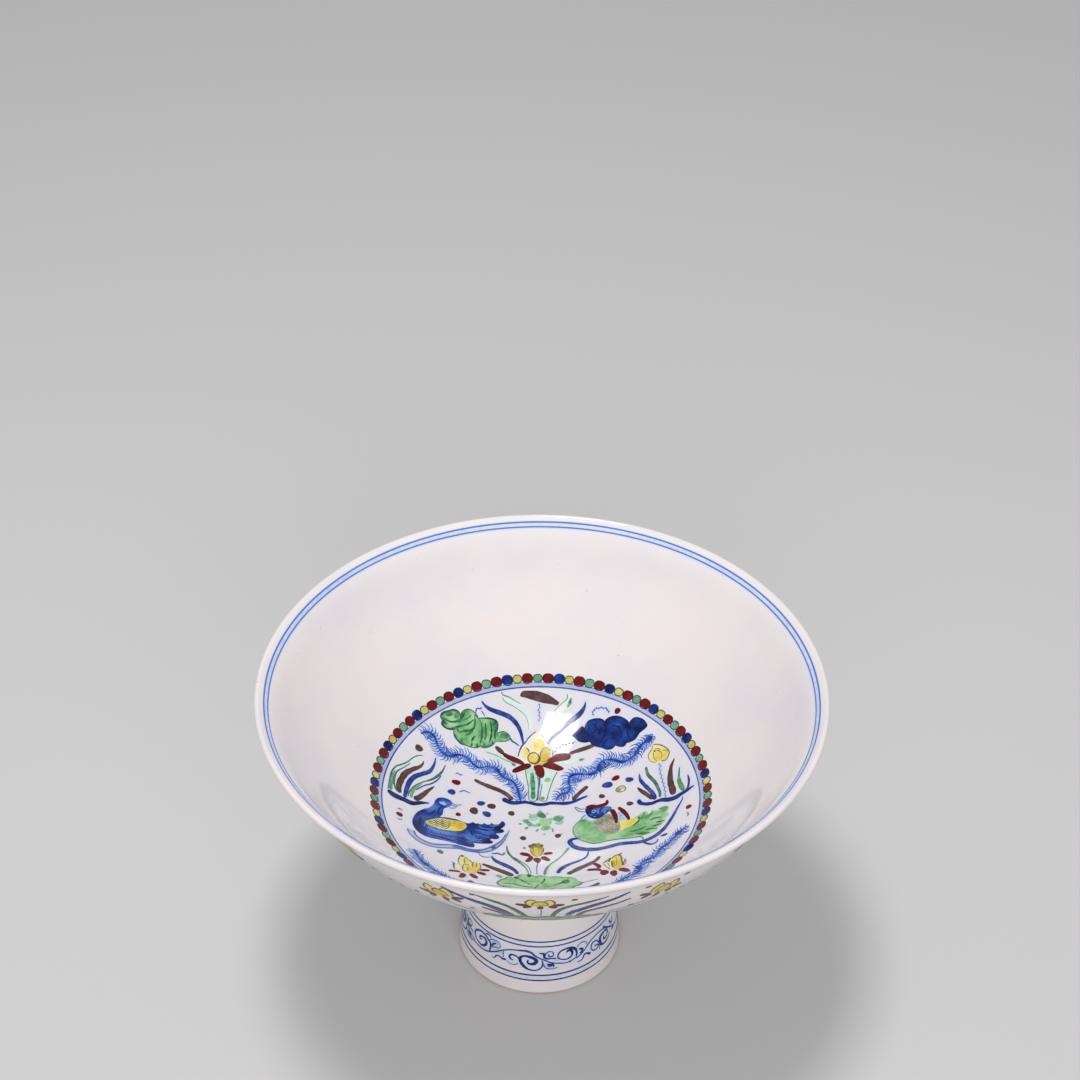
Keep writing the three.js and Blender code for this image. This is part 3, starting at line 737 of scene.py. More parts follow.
hatch("wash", "-34.4,-7.6 -31,-8 -27.8,-7.7 -27.4,-9.2 -31,-10 -34,-9.3", 78, 0.62, 0.34, 1.05)
fill("wash", "-31.5,4.2 -31.1,4.7 -30.2,5 -29.4,4.6 -29.2,4 -29.8,3.5 -30.7,3.6", 0.45, lift=LINE)
detail("cobalt", "-31.5,5.1 -30.9,4.7 -30.4,4.3", (0.6, 0.45, 0.2), 0.5)
wash("pale", "-27.7,5.4 -26.4,5 -25.5,5.2 -24.5,5.7 -25.5,4.8 -26.6,4.3 -27.8,4.4", 0.8)
for row in (("-27.6,5.4 -26.5,4.9 -25.6,5.1 -24.4,5.8", (0.4, 0.3, 0.2), -0.25),
            ("-27.8,4.3 -26.6,4.2 -25.8,4.6", (0.3, 0.25, 0.15), -0.3),
            ("-28.4,3.1 -27.4,3.2 -26.6,3.6 -26,4", (0.4, 0.3, 0.15), -0.25)):
    stroke("blue", *row)
for line in ("-19,-3 -16,-3.6 -13.2,-3", "-18.5,-5.4 -16.4,-5.9 -14.4,-5.6", "-20.4,-7 -18,-7.8 -15.4,-8",
             "-17.3,-1.4 -15.4,-2 -12.8,-1", "-36.5,-4 -36.9,-7 -35.6,-10.4",
             "-26.5,-9.3 -23.5,-9.4 -20.5,-9.9", "-34.4,-11.8 -29,-11.6 -24,-11.6",
             "-32.4,.6 -33.4,-1.2 -35.4,-3", "-22.4,-3.4 -21.4,-5.2 -20.8,-7.2",
             "-20.4,-1.6 -19,-2.4 -16.4,-2.2", "-34.6,-.6 -36.6,-2.4 -37.8,-5",
             "-27.6,-10.6 -24,-10.8 -21.4,-11.4", "-31,2.4 -31.6,.2 -31.4,-1.4"):
    detail("cobalt", line, (0.25, 0.6, 0.25), 0.9)
for line in ("-20.6,-4.2 -17.6,-4.2 -14,-3.6", "-20,-6 -17,-6.6 -15.4,-6.4", "-22,-8.4 -19,-8.6 -17.4,-7.2",
             "-31,-11 -28,-10.8 -25.4,-10.4", "-19.4,-2 -17.4,-2.8 -14,-2", "-35.6,-9 -35.2,-6.8",
             "-34,.4 -35.4,-1", "-33,-12.2 -29.6,-12.2 -26,-12.2", "-24,-7.4 -21.4,-8 -19,-7.6",
             "-15.8,-1.4 -14.2,-1 -12.6,-.2", "-33.2,2 -34,.6", "-22,-9.8 -19.6,-9.6 -17.4,-9"):
    detail("sky", line, (0.2, 0.5, 0.2), 0.35, lift=OVER + 0.005)
wash("pale", "-40.4,-12.7 -39.8,-14.5 -38.2,-16.4 -36,-17.6 -33.5,-17.8 -31,-17.3 -28,-16 -25,-15 -22,-15.1 "
     "-19,-14.8 -16.5,-13.9 -14.3,-12.2 -12.3,-9.5 -10.8,-6.3 -10,-3.5 -9.5,-2 -10.4,-3.6 -11.7,-6.8 "
     "-13.2,-9 -14.8,-10.8 -16.8,-12.6 -19,-13.7 -22,-14 -25,-13.5 -28,-14.3 -31,-15.6 -33.5,-16.3 "
     "-36,-15.8 -37.8,-14.5 -38.4,-12.8", 1.0, halo=0.6)
stroke("sky", "-27,-14.6 -24.5,-14.2 -22,-14.5 -19.5,-14.2 -17.6,-13.4", (0.3, 1.1, 1.3, 0.9, 0.3),
       lift=LINE - 0.01)
stroke("pale", "-38.8,-15.4 -36.6,-16.8 -33.6,-17.2 -30.6,-16.6", (0.2, 0.8, 0.8, 0.2), 1.1,
       lift=LINE - 0.01)
dab("blue", -14.3, -11.3, 1.0, 1.8, -40)
stroke("blue", "-40.4,-12.7 -39.8,-14.5 -38.2,-16.4 -36,-17.6 -33.5,-17.8 -31,-17.3 -28,-16 -25,-15 "
       "-22,-15.1 -19,-14.8 -16.5,-13.9 -14.3,-12.2 -12.3,-9.5 -10.8,-6.3 -10,-3.5 -9.5,-2",
       (0.4, 0.5, 0.45, 0.6, 0.6, 0.5, 0.2), 0.05)
stroke("blue", "-38.4,-12.6 -37.8,-14.5 -36,-15.8 -33.5,-16.3 -31,-15.6 -28,-14.3 -25,-13.5 -22,-14 "
       "-19,-13.7 -16.8,-12.6 -14.8,-10.8 -13.2,-9 -11.7,-6.8 -10.6,-4", (0.6, 0.7, 0.5, 0.7, 0.7, 0.3), 0.1)

# Duck on the right
fill("green", "12.7,2.4 11.3,1 10.4,-.5 10.1,-2 10.3,-3.4 10.8,-4.8 12,-6.2 13.8,-7.5 16,-8.8 18,-9 "
     "20.5,-8.7 24,-8.8 27,-9.4 30,-9.9 33,-10 35.2,-9.4 35.9,-8.6 / 34.4,-8.2 / 36.5,-7.7 37.8,-6.6 "
     "38.4,-5.4 / 37.4,-5.5 / 39,-4.2 39.3,-3 38.6,-2.2 39.4,-1.2 39.2,0 38.4,.6 37.2,.3 36.4,-.3 35.4,-.1 "
     "34.4,.5 33.8,-.6 33,-.3 32.6,.8 31.8,1 31,.5 30,0 28.5,-.8 27,-.6 24.5,.2 21.5,2.4 19.5,2.3 17.5,2 "
     "15.6,1.6 14.4,2.4 13.5,2.6", 0.22, spread=0.4, halo=0.5, edge=-0.35,
     pools=((12.6, -2, 1.2, -0.2), (36, -3, 1.4, -0.2), (15.5, -4.3, 2, 0.18), (31.5, -6, 2.4, 0.3),
            (24, -6.4, 1.6, -0.25), (34.5, -5, 1.4, -0.3), (38.4, -1, 1.2, 0.5), (32.2, -1, 1, 0.5),
            (13.2, 1.4, 1, 0.4), (27, -8, 2, 0.2)))
WING_RIGHT = ("16.6,1 16.4,-.4 17.5,-2.4 19.4,-4.4 21,-5.4 23,-5.6 24.3,-4.2 24.4,-2 23.6,0 22.4,2 21,3.3 "
              "19.8,2.8 18,1.8")
fill("scale", WING_RIGHT, 0.3, lift=LINE, spread=0.8, edge=-0.3)
hatch("brown", WING_RIGHT, 62, 0.5, 0.13, 0.0)
hatch("teal", WING_RIGHT, 38, 1.3, 0.11, 0.1, lift=OVER + 0.008)
hatch("brown", WING_RIGHT, -40, 1.7, 0.1, 0.0, lift=OVER + 0.012)
detail("teal", WING_RIGHT, 0.18, 0.2, closed=True)
detail("teal", "16.5,.9 17,.3 17.4,-.6", (0.3, 0.9, 0.3), 0.1)
detail("teal", "18.3,2.1 19.4,2.4 20.6,2.9", (0.3, 0.8, 0.3), 0.2)
fill("yellow", "24.3,-.4 26.5,-.7 28.3,-.8 29.8,-1.3 30.3,-2.2 29.5,-3.4 28,-4 26.5,-4.3 25,-5 24.2,-4 "
     "24.4,-2", 0.25, lift=LINE, pools=((27.8, -2.4, 1.2, 0.4),))
detail("green", "29.9,-.4 30.5,-1.6 29.8,-3 28.2,-4.1", (0.3, 0.6, 0.4), 1.0)
fill("cobalt", "14,7 14,5.5 14.6,4 15.5,2.9 16.8,2.2 18.3,2.2 19.5,2.9 20.8,4 21.8,5 22,6 21,6.6 19,6.7 "
     "17,6.8 15.2,7", 0.55, lift=LINE, spread=0.7, halo=0.8,
     pools=((19.6, 5.4, 0.9, -0.45), (16.4, 5.3, 0.8, -0.3), (17.6, 3, 1, 0.3), (15, 6.2, 0.9, 0.4),
            (21.2, 5.6, 0.8, -0.6)))
for line in ("14.4,6.3 14.6,4.6 15.6,3.3 16.8,2.9", "18.8,4.6 19.4,3.4", "19.2,6.4 18.6,5.6 18.5,4.4",
             "17.2,3.6 18.4,2.7", "20.4,4.6 21.4,5.1"):
    detail("cobalt", line, (0.3, 0.6, 0.3), lift=OVER - 0.01)
for line in ("18,6.3 17.8,5 18.1,4", "20,6.4 19.6,5.4", "21.2,6.3 20.7,5.7", "15.4,4.3 15.9,3.7",
             "19.8,4.6 19.9,3.6", "17.4,2.9 16.4,3.2"):
    detail("sky", line, (0.2, 0.45, 0.2), 0.2)
detail("wash", "17.2,5.4 16.8,5.9 16.3,5.9 16,5.4 16.3,4.9 16.8,4.9", 0.28, 0.5, lift=OVER + 0.01,
       closed=True)
stroke("red", "14.1,7.4 15.5,7.5 17.5,7.2 19.4,7.4 20.6,8 20.7,9.3", (1.0, 1.6, 1.4, 1.5, 1.2, 0.8), 0.6,
       lift=OVER)
wash("pale", "12.4,2.6 13,3.8 14.2,4.9 14.8,3.6 15.4,2.9 14,2.5", 0.7)
wash("pale", "14,6.9 12,7 10.9,8 11.3,6.8 12.3,5.9 14,5.7", 0.3)
stroke("blue", "14.2,6.9 12.4,7 10.9,8.1 10.9,7.4 11.5,6.5 12.5,5.9 14.1,5.6", 0.25, 0.3)
stroke("blue", "13.9,4.4 13,3.3 12.5,2.5", 0.25, 0.2)
stroke("red", "21.9,5.1 22.6,3.6 23.2,1.4 23.5,-1.5", (1.4, 1.6, 1.4, 0.8), 0.6, lift=OVER)
stroke("red", "24.1,5.4 25.6,3.3 26.7,1.2 27.4,-1.1", (1.0, 1.4, 1.3, 0.9), 0.6, lift=OVER)
wash("wash", "23.7,3.2 24.4,3.4 25.6,2 26.3,.4 26.2,-.6 24.6,-.4 24,1", 0.2)
for line in ("24.1,2.7 24.9,2.6", "24.2,1.6 25.5,1.4", "24.3,.6 26,.3"):
    stroke("blue", line, 0.25, 0.1)
stroke("teal", "12.9,2.7 11.2,1 10.2,-.8 10.1,-2.5 10.8,-4.8 12,-6.3 13.8,-7.6 16,-8.9 18,-9.1 20.5,-8.8 "
       "24,-8.9 27,-9.5 30,-10 31.1,-10.8 31.4,-12", (0.3, 0.3, 0.35, 0.4), 0.4, lift=OVER)
for line in ("29,-8 31,-8.8 33.4,-9.5", "32,-7.4 34,-7.8 35.9,-8.5", "34,-6.6 35.6,-6.9 37,-6.9",
             "35.4,-5.4 36.8,-5.8 38,-5.7", "27.4,-6.6 30,-6.6 32.6,-6", "33.6,-3.6 35.4,-3.4 37.4,-4"):
    detail("green", line, (0.35, 0.6, 0.3))
for row in (("36.2,.1 37.2,.1 38.2,-.1 39.1,-.7", (0.3, 0.8, 0.9, 0.3), 0.75),
            ("37,-1.4 38,-1.3 39,-1.9", (0.2, 0.6, 0.3), 0.7),
            ("30.2,-2.4 31.2,-1.4 31.9,-.2 32,.8", (0.2, 0.5, 0.8, 0.3), 0.7),
            ("32.6,-2.6 33.6,-1.6 34.2,-.6 34.3,.4", (0.2, 0.5, 0.6, 0.25), 0.65),
            ("12,.9 13,1.9 14.3,2.4", (0.3, 0.9, 0.4), 0.6)):
    detail("green", *row)
stroke("blue", "12.2,-5.9 10.2,-5.9 9.1,-6.7 9.3,-8 10.4,-9.6 12.4,-10.9 15,-11.7 18,-12.1 21,-11.8 "
       "24,-11.4 27,-11.9 30,-12.7 33,-12.6 36,-11.2 38.3,-8.8 40.3,-5.5 41.8,-2.5 43.2,0 43.7,1.6",
       (0.5, 1.5, 1.8, 1.6, 1.5, 1.6, 1.4, 1.5, 1.6, 1.3, 1.0, 0.7, 0.25), halo=1)
wash("pale", "31.4,-13 32.4,-14.4 33.8,-15.5 35.2,-15.1 35.6,-13.8 34.4,-13")
stroke("blue", "31.2,-12.9 32.2,-14.4 33.8,-15.7 35.2,-15.3 35.7,-13.8", (0.8, 0.7, 0.3), 0.6)
dab("blue", 37.5, -12.9, 2.3, 1.1, 0, 0.6, halo=0.6)

# Lotus at the bottom with its blades
fill("yellow", "-1.4,-8.2 -3,-8.8 -3.3,-10.5 -2.6,-12 -1.8,-13.6 -.7,-14 .6,-12.4 1,-10.5 .8,-9 .1,-8.2",
     0.55, pools=((-0.8, -11.2, 1, 0.3), (-1.4, -13.4, 0.9, -0.3)))
for spot, tone in (((-3, -9, 1.5, 1.5, 30), 0.5), ((-1.9, -8.2, 1.7, 1.2, 10), 0.7),
                   ((-0.6, -7.9, 1.5, 1.0, 0), 0.3), ((0.4, -8.6, 1.2, 1.3, -30), 0.6),
                   ((-1.2, -9, 2.2, 1.2, 0), 0.1), ((-2.5, -9.8, 1.1, 1.3, 20), 0.2),
                   ((0.2, -9.4, 1.0, 1.3, 0), 0.1)):
    dab("olive", *spot, tone)
for line in ("-2.1,-9.2 -2.2,-10.6 -1.8,-12.2 -1.1,-13.4", "-.6,-9.2 -.4,-10.8 -.5,-12.6",
             ".2,-9.8 .3,-11 0,-12.4"):
    detail("olive", line, (0.35, 0.25, 0.12), 0.3)
detail("olive", "-3.2,-10.4 -2.7,-12 -1.9,-13.5 -.7,-14", (0.3, 0.4, 0.3), 0.4)
detail("olive", ".9,-9.6 .95,-11 .5,-12.6 -.4,-13.9", (0.5, 0.4, 0.3), 0.4)
dab("teal", -4.9, -10, 1.0, 1.3, 20, -0.1)
stroke("red", "-6.3,-12.8 -5.2,-13 -4,-13.3 -2.9,-14", (1.1, 1.7, 1.5, 1.0))
stroke("red", "-3,-13.7 -2.9,-15 -3.6,-16.2 -4.5,-16.9", (1.1, 1.6, 1.7, 1.1))
fill("red", "-2.1,-15.2 -1.3,-14.7 0,-15 .3,-16 -.3,-17.4 -.8,-17.7 -1.4,-16.9 -2,-16.2", lift=LINE)
stroke("red", ".2,-14.4 1.2,-14.8 2,-15.4 3,-16.3", (1.3, 1.8, 1.5, 1.0))
stroke("red", "1,-12.7 2.4,-12.4 3.9,-12.2", (1.1, 1.4, 1.2))
stroke("blue", "-.8,-17.8 -1,-20 -.9,-24", 0.3, 0.2)
stroke("teal", "-10.3,-9.4 -10.1,-11.5 -9.5,-13.5 -8,-15.7 -6,-17.9 -4.6,-20 -3.8,-22 -3.5,-23.8",
       (0.3, 0.8, 0.8, 0.4, 0.3))
wash("mint", "-9.3,-13.4 -7.6,-15.4 -5.4,-17.2 -4,-19 -3,-21.2 -2.7,-23.6 -3.7,-23.6 -4.2,-21.4 -5.4,-19 "
     "-7.4,-16.6", 0.6)
stroke("teal", "-8,-15 -5.6,-17.2 -4,-19 -3.1,-21.2 -2.7,-23.6", 0.3, 0.3)
stroke("teal", "8.8,-9.8 7.8,-11.8 6.5,-14 5,-16 3.2,-18 2.2,-19.8 1.6,-21.8 1.4,-24.2",
       (0.9, 0.5, 0.4, 0.4, 0.8, 0.9), 0.3)
wash("mint", "8.2,-11 6,-14 4.2,-16.2 2.6,-18.2 1.6,-20.6 1.2,-23.6 2.2,-24 2.8,-21.4 3.8,-18.8 5.6,-16 "
     "7.4,-13", 0.6)
stroke("blue", "-14.9,-15.6 -13.6,-17.8 -11,-19.5 -8.8,-21 -7.3,-22.8 -6.8,-24.4",
       (0.4, 1.3, 1.7, 1.6, 1.4, 1.1), 0.6, halo=0.8)
stroke("blue", "14.7,-12.3 14.5,-14.3 13.5,-16 11.5,-17.3 9.3,-18.3 7.3,-19.8 6,-21.5 5.3,-23.4",
       (0.4, 0.6, 0.9, 1.2, 1.4, 1.3), 0.6, halo=0.8)
stroke("brown", "-17.6,-20.7 -15,-21.8 -12,-23.2 -9.5,-24.6 -8,-25.6", (1.13, 1.69, 1.92, 2.15, 1.58))
stroke("brown", "18.2,-15.9 16.8,-18 14.5,-19.7 12,-21.2 10,-22.8 8.2,-24.2",
       (0.904, 1.24, 1.69, 1.81, 1.69, 1.47))
LEAF_LOW = ("-12.8,-30.6 -11.8,-28.8 -10.4,-27.4 -9.6,-26.2 -7.6,-26.6 -6.4,-24.6 -4.5,-24 -3,-24 "
            "-1.5,-24.9 0,-24.4 1.6,-24.9 3,-25.3 5,-25.1 7,-25.7 9,-26 10.6,-27 11.4,-28.8 12.8,-30 "
            "12,-31.6 10,-32.6 9.6,-34.6 7,-36.6 3,-37.4 -1,-36.8 -4,-36 -7,-36.6 -9.6,-35.2 -9.4,-33.2 "
            "-12,-32.6")
fill("green", LEAF_LOW, 0.1, spread=0.7, halo=0.5, edge=0.35)
detail("teal", "12.8,-30 12,-31.6 10,-32.6 9.6,-34.6 7,-36.6 3,-37.4 -1,-36.8 -4,-36 -7,-36.6 -9.6,-35.2 "
       "-9.4,-33.2 -12,-32.6 -12.8,-30.8 -11.8,-28.8 -10.4,-27.6 -9.7,-26.2", 0.4, 0.4)
for vein in ("-6.6,-26.8 -4.5,-29 -2.5,-30.8", "-11.3,-31 -8,-30.6 -5,-31.8 -2,-32.3",
             "-.4,-30 -1,-31.8 -1.8,-33.4", "-8.8,-32.4 -9.4,-34.2", "8.6,-27.4 6.4,-29.4 4,-31",
             "3.2,-33 5.4,-33.6 7.8,-33.4", "1.4,-26.2 1.2,-28 .2,-29.6"):
    detail("green", vein, (0.4, 0.7, 0.4), 0.85)
dab("green", -3.3, -24.9, 1.3, 1.9, 0, 1.0, lift=OVER)
dab("green", 7.7, -28.8, 2.6, 2.6, 0, 0.75)
dab("green", -7.2, -26.6, 1.4, 1.8, 30, 0.95, lift=OVER)
dab("mint", -12, -26.6, 3.4, 2.2, -30, 0.6, lift=WASH)
dab("teal", -12.2, -26.7, 2.2, 1.4, -35, 0.0)
stroke("teal", "11,-31.3 13,-30.2 15,-29.6 17.5,-29.2", (0.6, 0.4, 0.3), 0.1)
stroke("brown", "11.8,-35 14,-34.3 16,-33.3 17.8,-31.8", (1.02, 1.47, 1.47, 1.36))
stroke("brown", "-17,-33.6 -15.4,-34.3 -13.6,-34.9 -11.6,-35.8", (0.791, 1.13, 1.24, 1.02))

# Bank and weeds under the lowest leaf
stroke("blue", "-17.5,-40.4 -15,-41.8 -11,-41.4 -7,-42.2 -3,-41.4 1,-42.2 5,-41.4 9,-42.2 13,-41.6 17,-40.2",
       (0.5, 1.5, 1.1, 1.4, 1.0, 1.4, 1.1, 1.5, 0.5), 0.7, halo=0.8)
weed("-19.5,-42 -16,-44 -12,-43.8 -8,-45.2 -4,-44.6 0,-45.6", 1.7, 1.5)
weed("20,-41.6 16.5,-43.8 12.5,-43.6 8.5,-45.2 4.6,-44.6", 1.5, 1.7)
for colour, x, y in (
        ("brown", -26.5, -38.6), ("red", 26.8, -38.4), ("brown", 20.4, -36.4), ("blue", -20.6, -33.4)):
    dab(colour, x, y, 2.0, 1.7, 20, halo=0.3 if colour == "blue" else 0)

# Lotus at the bottom left
fill("yellow", "-24.6,-20.8 -24,-18.2 -22.9,-19 -21.5,-20.1 -20.5,-20.9 -20.4,-22.4 -21.2,-23.2 -22.6,-23.2 "
     "-24,-23.8 -24.7,-22.4", 0.25, edge=-0.25, pools=((-22.7, -21, 1, 0.35), (-24.2, -23, 1, -0.3)))
fill("yellow", "-20.3,-21.2 -19.6,-20.2 -18.8,-20 -18.1,-20.8 -18,-22.7 -18.5,-24.7 -19.4,-26 -20.2,-25 "
     "-20.4,-23", 0.45, pools=((-19.2, -22.4, 1, 0.1),))
fill("yellow", "-22.8,-23.1 -23.2,-24.7 -23.2,-26.1 -22.4,-27.2 -21.3,-27.6 -20.2,-27.2 -19.6,-26 "
     "-19.9,-24.4 -20.8,-23.3", 0.35, lift=LINE, pools=((-20.6, -25.6, 1, 0.35),))
fill("amber", "-20.2,-24.6 -19.6,-25.4 -19.2,-26.6 -19.8,-27.4 -20.8,-27.6 -20.4,-26.2", 0.3,
     lift=LINE + 0.008)
for line in ("-24,-18.1 -24.6,-20.4 -24.6,-22.4 -24,-24",
             "-24,-18.3 -22.8,-18.9 -21.4,-20.1 -20.4,-21.2 -20.3,-22.8", "-19.9,-20.4 -20.5,-22 -20.2,-24",
             "-23,-22.9 -23.3,-24.6 -23.2,-26.2 -22.3,-27.3", "-23,-22.8 -22.2,-23 -21.2,-22.8",
             "-18.4,-20.4 -17.9,-22.6 -18.4,-24.6 -19,-25.6", "-22.8,-19.4 -22.9,-21 -22.6,-22.6",
             "-19.2,-20.6 -19.2,-22 -19.4,-23.6", "-21.6,-24 -21.8,-25.4 -21.5,-26.8",
             "-25.8,-24.2 -25.9,-25.6 -25.4,-27.2"):
    detail("olive", line, (0.25, 0.42, 0.2), 0.4)
dab("olive", -23.7, -18.5, 1.3, 1.1, 30, 0.8, lift=OVER)
wash("cream", "-25.8,-24 -24.8,-24.2 -23.9,-25 -23.4,-26.6 -23.8,-27.8 -25.2,-27.8 -25.7,-26.2", 0.8)
stroke("blue", "-26.5,-23.2 -26.1,-23.3 -25.9,-24 -26,-25.2 -25.7,-27", (0.5, 0.7, 0.4, 0.3), 0.2)
for row in (("-27.4,-29.3 -26.4,-28.7 -25,-28.2 -23.7,-28.2", (0.8, 1.0, 1.1, 0.9), 0.45),
            ("-22.9,-28.5 -23,-29.8 -23.4,-31 -24,-32", (1.5, 1.9, 1.6, 1.0), 0.4),
            ("-21,-27.9 -20.2,-28.7 -19.4,-29.5 -18.7,-30.3", (1.3, 1.9, 1.8, 1.2), 0.4),
            ("-19.1,-26.2 -17.7,-26.4 -16.2,-26.9", (1.2, 1.6, 1.3)),
            ("-18.1,-24.6 -16.8,-24.2 -15.1,-23.8", (1.0, 1.4, 1.1))):
    stroke("red", *row)

# Lotus at the bottom right
wash("cream", "21.2,-17.7 20,-19.2 18.9,-20.2 19.7,-21.6 20.2,-23.3 21.4,-24.6 21.9,-22 21.8,-19.4")
fill("yellow", "21.6,-18.5 22.2,-17.5 23.2,-16.9 24,-17.2 24.4,-18.6 24.5,-20.6 24.7,-22.6 24.3,-24.3 "
     "22.7,-25 21.9,-23.6 21.6,-21.2", 0.55,
     pools=((23.2, -21.4, 1.1, 0.3), (22.8, -18.2, 0.9, -0.2), (23.4, -24, 1, 0.2)))
fill("yellow", "19.6,-20 20.4,-18.9 21.2,-19.2 21.4,-21.4 20.8,-23 20.1,-22 19.9,-21", 0.05)
for line in ("21.6,-18.6 22.3,-17.5 23.3,-16.9 24.2,-17.4 24.6,-19 24.6,-21",
             "21.7,-19.4 21.7,-21.6 22,-23.6", "21.3,-17.8 20.9,-18.8 20.8,-20.2",
             "19,-20.1 19.9,-19.3 20.6,-18.4", "24.6,-20 24.9,-21.8 24.7,-23.6"):
    detail("olive", line, (0.35, 0.6, 0.35), 0.6)
dab("olive", 21.1, -18.5, 0.8, 1.7, -15, lift=OVER)
detail("olive", "20.2,-22.4 20.8,-23.8 21.4,-24.4", (0.25, 0.4, 0.25), 0.4)
fill("yellow", "24.6,-19.4 25.4,-20.2 25.8,-21.6 25.4,-23.2 24.5,-24.2 24.6,-22", 0.0, edge=-0.2)
for line in ("23,-18 23.2,-20.4 23,-22.8", "22.4,-19.4 22.3,-21.6 22.6,-23.6",
             "20.3,-19.6 20.6,-21.2 21.2,-23", "24.8,-19.2 25.7,-20.4 25.9,-22 25.3,-23.6",
             "18.9,-20.2 19.7,-21.6 20.1,-23"):
    detail("olive", line, (0.15, 0.28, 0.15), 0.35)
stroke("blue", "23.4,-17 24.2,-16.7 24.8,-16.3", (0.3, 0.5, 0.8), 0.2, lift=OVER)
stroke("blue", "25.8,-19.8 25.4,-21.5 25,-23.6", (0.5, 0.3), 0.2)
stroke("red", "16.1,-19.4 17,-20.2 17.7,-21.4 18,-22.6", (1.2, 1.3, 1.4, 1.0), 0.6)
stroke("red", "14.1,-22.7 16,-22.9 17.4,-23.2 18.4,-24.2", (1.1, 1.3, 1.3, 1.0))
dab("red", 19.3, -25.6, 2.6, 3.3, 15, 0.4)
stroke("red", "22.1,-25.2 22,-26.6 22.2,-27.8 22.4,-29", (1.5, 2.3, 2.0, 1.0), 0.45)
stroke("red", "23.6,-25 24.8,-25.9 25.8,-26.9 26.8,-28", (1.1, 1.9, 1.7, 1.0), 0.3)

# Lines round the medallion, as rows of colour, radius, width, tone and lift
for row in (("blue", 48.66, 0.36, 0.4), ("blue", 49.86, 0.16, -0.3), ("pale", 49.3, 1.0, 0.95, WASH)):
    pond.ring(*row)

# Beads, as rows of fill, outline, width, height and tone, which is None where it is drawn for each
BEADS = (("beadgreen", "teal", 3.05, 2.35, None), ("red", "red", 3.65, 2.7, 0.4),
         ("cobalt", "cobalt", 3.55, 2.75, 0.85), ("beadyellow", "teal", 2.95, 2.3, None),
         ("red", "red", 3.6, 2.7, 0.4))
BEAD_ROUNDS = 19
BEAD_RADIUS = 50.95
BEAD_SPREAD = 51.0
FIRST_BEAD = math.radians(91.5)


def bead(colour, edging, wide, deep, tone, turn, points=14):
    """One enamel bead and its outline, centred at an angle round the ring."""
    wide *= random.uniform(0.89, 0.97)
    deep *= random.uniform(0.86, 0.97)
    lean = random.uniform(-0.25, 0.25)
    outline = []
    for k in range(points):
        t = 2 * math.pi * k / points + lean
        c, s = math.cos(t), math.sin(t)
        u = wide * 0.52 * math.copysign(abs(c) ** 0.85, c)
        v = deep / 2 * math.copysign(abs(s) ** 0.9, s) * (1 + random.uniform(-0.05, 0.05))
        r, a = BEAD_RADIUS + v, turn + u / BEAD_SPREAD
        outline.append((r * math.cos(a), r * math.sin(a)))
    drawn = random.uniform(0.4, 0.8)
    pond.fill(colour, outline, drawn if tone is None else tone, spread=0.3, grain=0.9)
    pond.detail(edging, outline, 0.27, 0.85, closed=True)


turn = FIRST_BEAD
for i in range(BEAD_ROUNDS * len(BEADS)):
    this, following = BEADS[i % len(BEADS)], BEADS[(i + 1) % len(BEADS)]
    bead(*this, turn)
    turn -= (this[2] + following[2]) * math.pi / (BEAD_ROUNDS * sum(row[2] for row in BEADS))

# Double line round the rim
rim = Field("rim", on_well)
for row in (("blue", 82.1, 0.38, -0.3), ("blue", 81.0, 0.3, -0.4), ("wash", 81.55, 1.0, 0.15, WASH),
            ("wash", 81.55, 1.95, -0.9, WASH - 0.01)):
    rim.ring(*row)

# Outside of the bowl: double lines above and below, and lotus clumps between them
frieze = Field("frieze", on_outside, FRIEZE_RADIUS)
UPPER_LINE = SLANT[-1] - 2.2
for row in (("blue", UPPER_LINE - 1.1, 0.42, 0.5), ("blue", UPPER_LINE, 0.38, 0.3),
            ("pale", UPPER_LINE - 0.55, 0.8, 0.6, WASH), ("blue", 38.6, 0.42, 0.5),
            ("blue", 37.2, 0.38, 0.3), ("pale", 37.9, 1.0, 0.6, WASH)):
    frieze.ring(*row)

CLUMPS = 5
LOTUS_HEART = "-1.9,-1.2 -1.6,1.6 0,3.2 1.6,1.6 1.9,-1.2 0,-1.9"
LOTUS_PETALS = (("-3.3,0 -3.4,2.6 -2.2,5 -.8,3.4 -.6,1 -1.4,-.6 -2.6,-.9", 0.45, FILL),
                (".7,1 .9,3.2 2.3,4.6 3.4,2.4 3.2,-.2 2.2,-1 1.1,-.4", 0.45, FILL),
                (LOTUS_HEART, 0.8, LINE))
LOTUS_OUTLINES = ("-3.3,-.2 -3.5,2.6 -2.2,5.1 -.9,3.5", "3.3,-.3 3.5,2.4 2.3,4.8 .9,3.3",
                  "-1.9,-1.2 -1.7,1.6 0,3.3 1.7,1.6 1.9,-1.2")
LOTUS_SEPALS = ("-2.6,-1.2 -4.2,-1 -6,-.2", "-2,-2 -3.2,-3 -3.9,-4.6", "0,-2.2 .1,-3.6 0,-5.6",
                "2,-2 3.2,-3 3.9,-4.6", "2.6,-1.2 4.2,-1 6,-.2")
CLUMP_LEAF = ("-13.6,53.4 -13,55.6 -10.6,57 -8.3,56.4 -6.4,58.4 -3.5,59.4 -1.2,58.2 .7,59.6 3.1,59.2 "
              "5.4,57.8 7.8,58.4 10.6,57.6 12.5,55.6 14.6,54.8 15.3,52.6 13.5,50.8 11.1,50.4 9.4,47.8 "
              "5.9,46.2 2.4,47 0,46 -3.5,46 -6.6,47.6 -9.4,47.6 -11.3,50.2 -13.9,51")
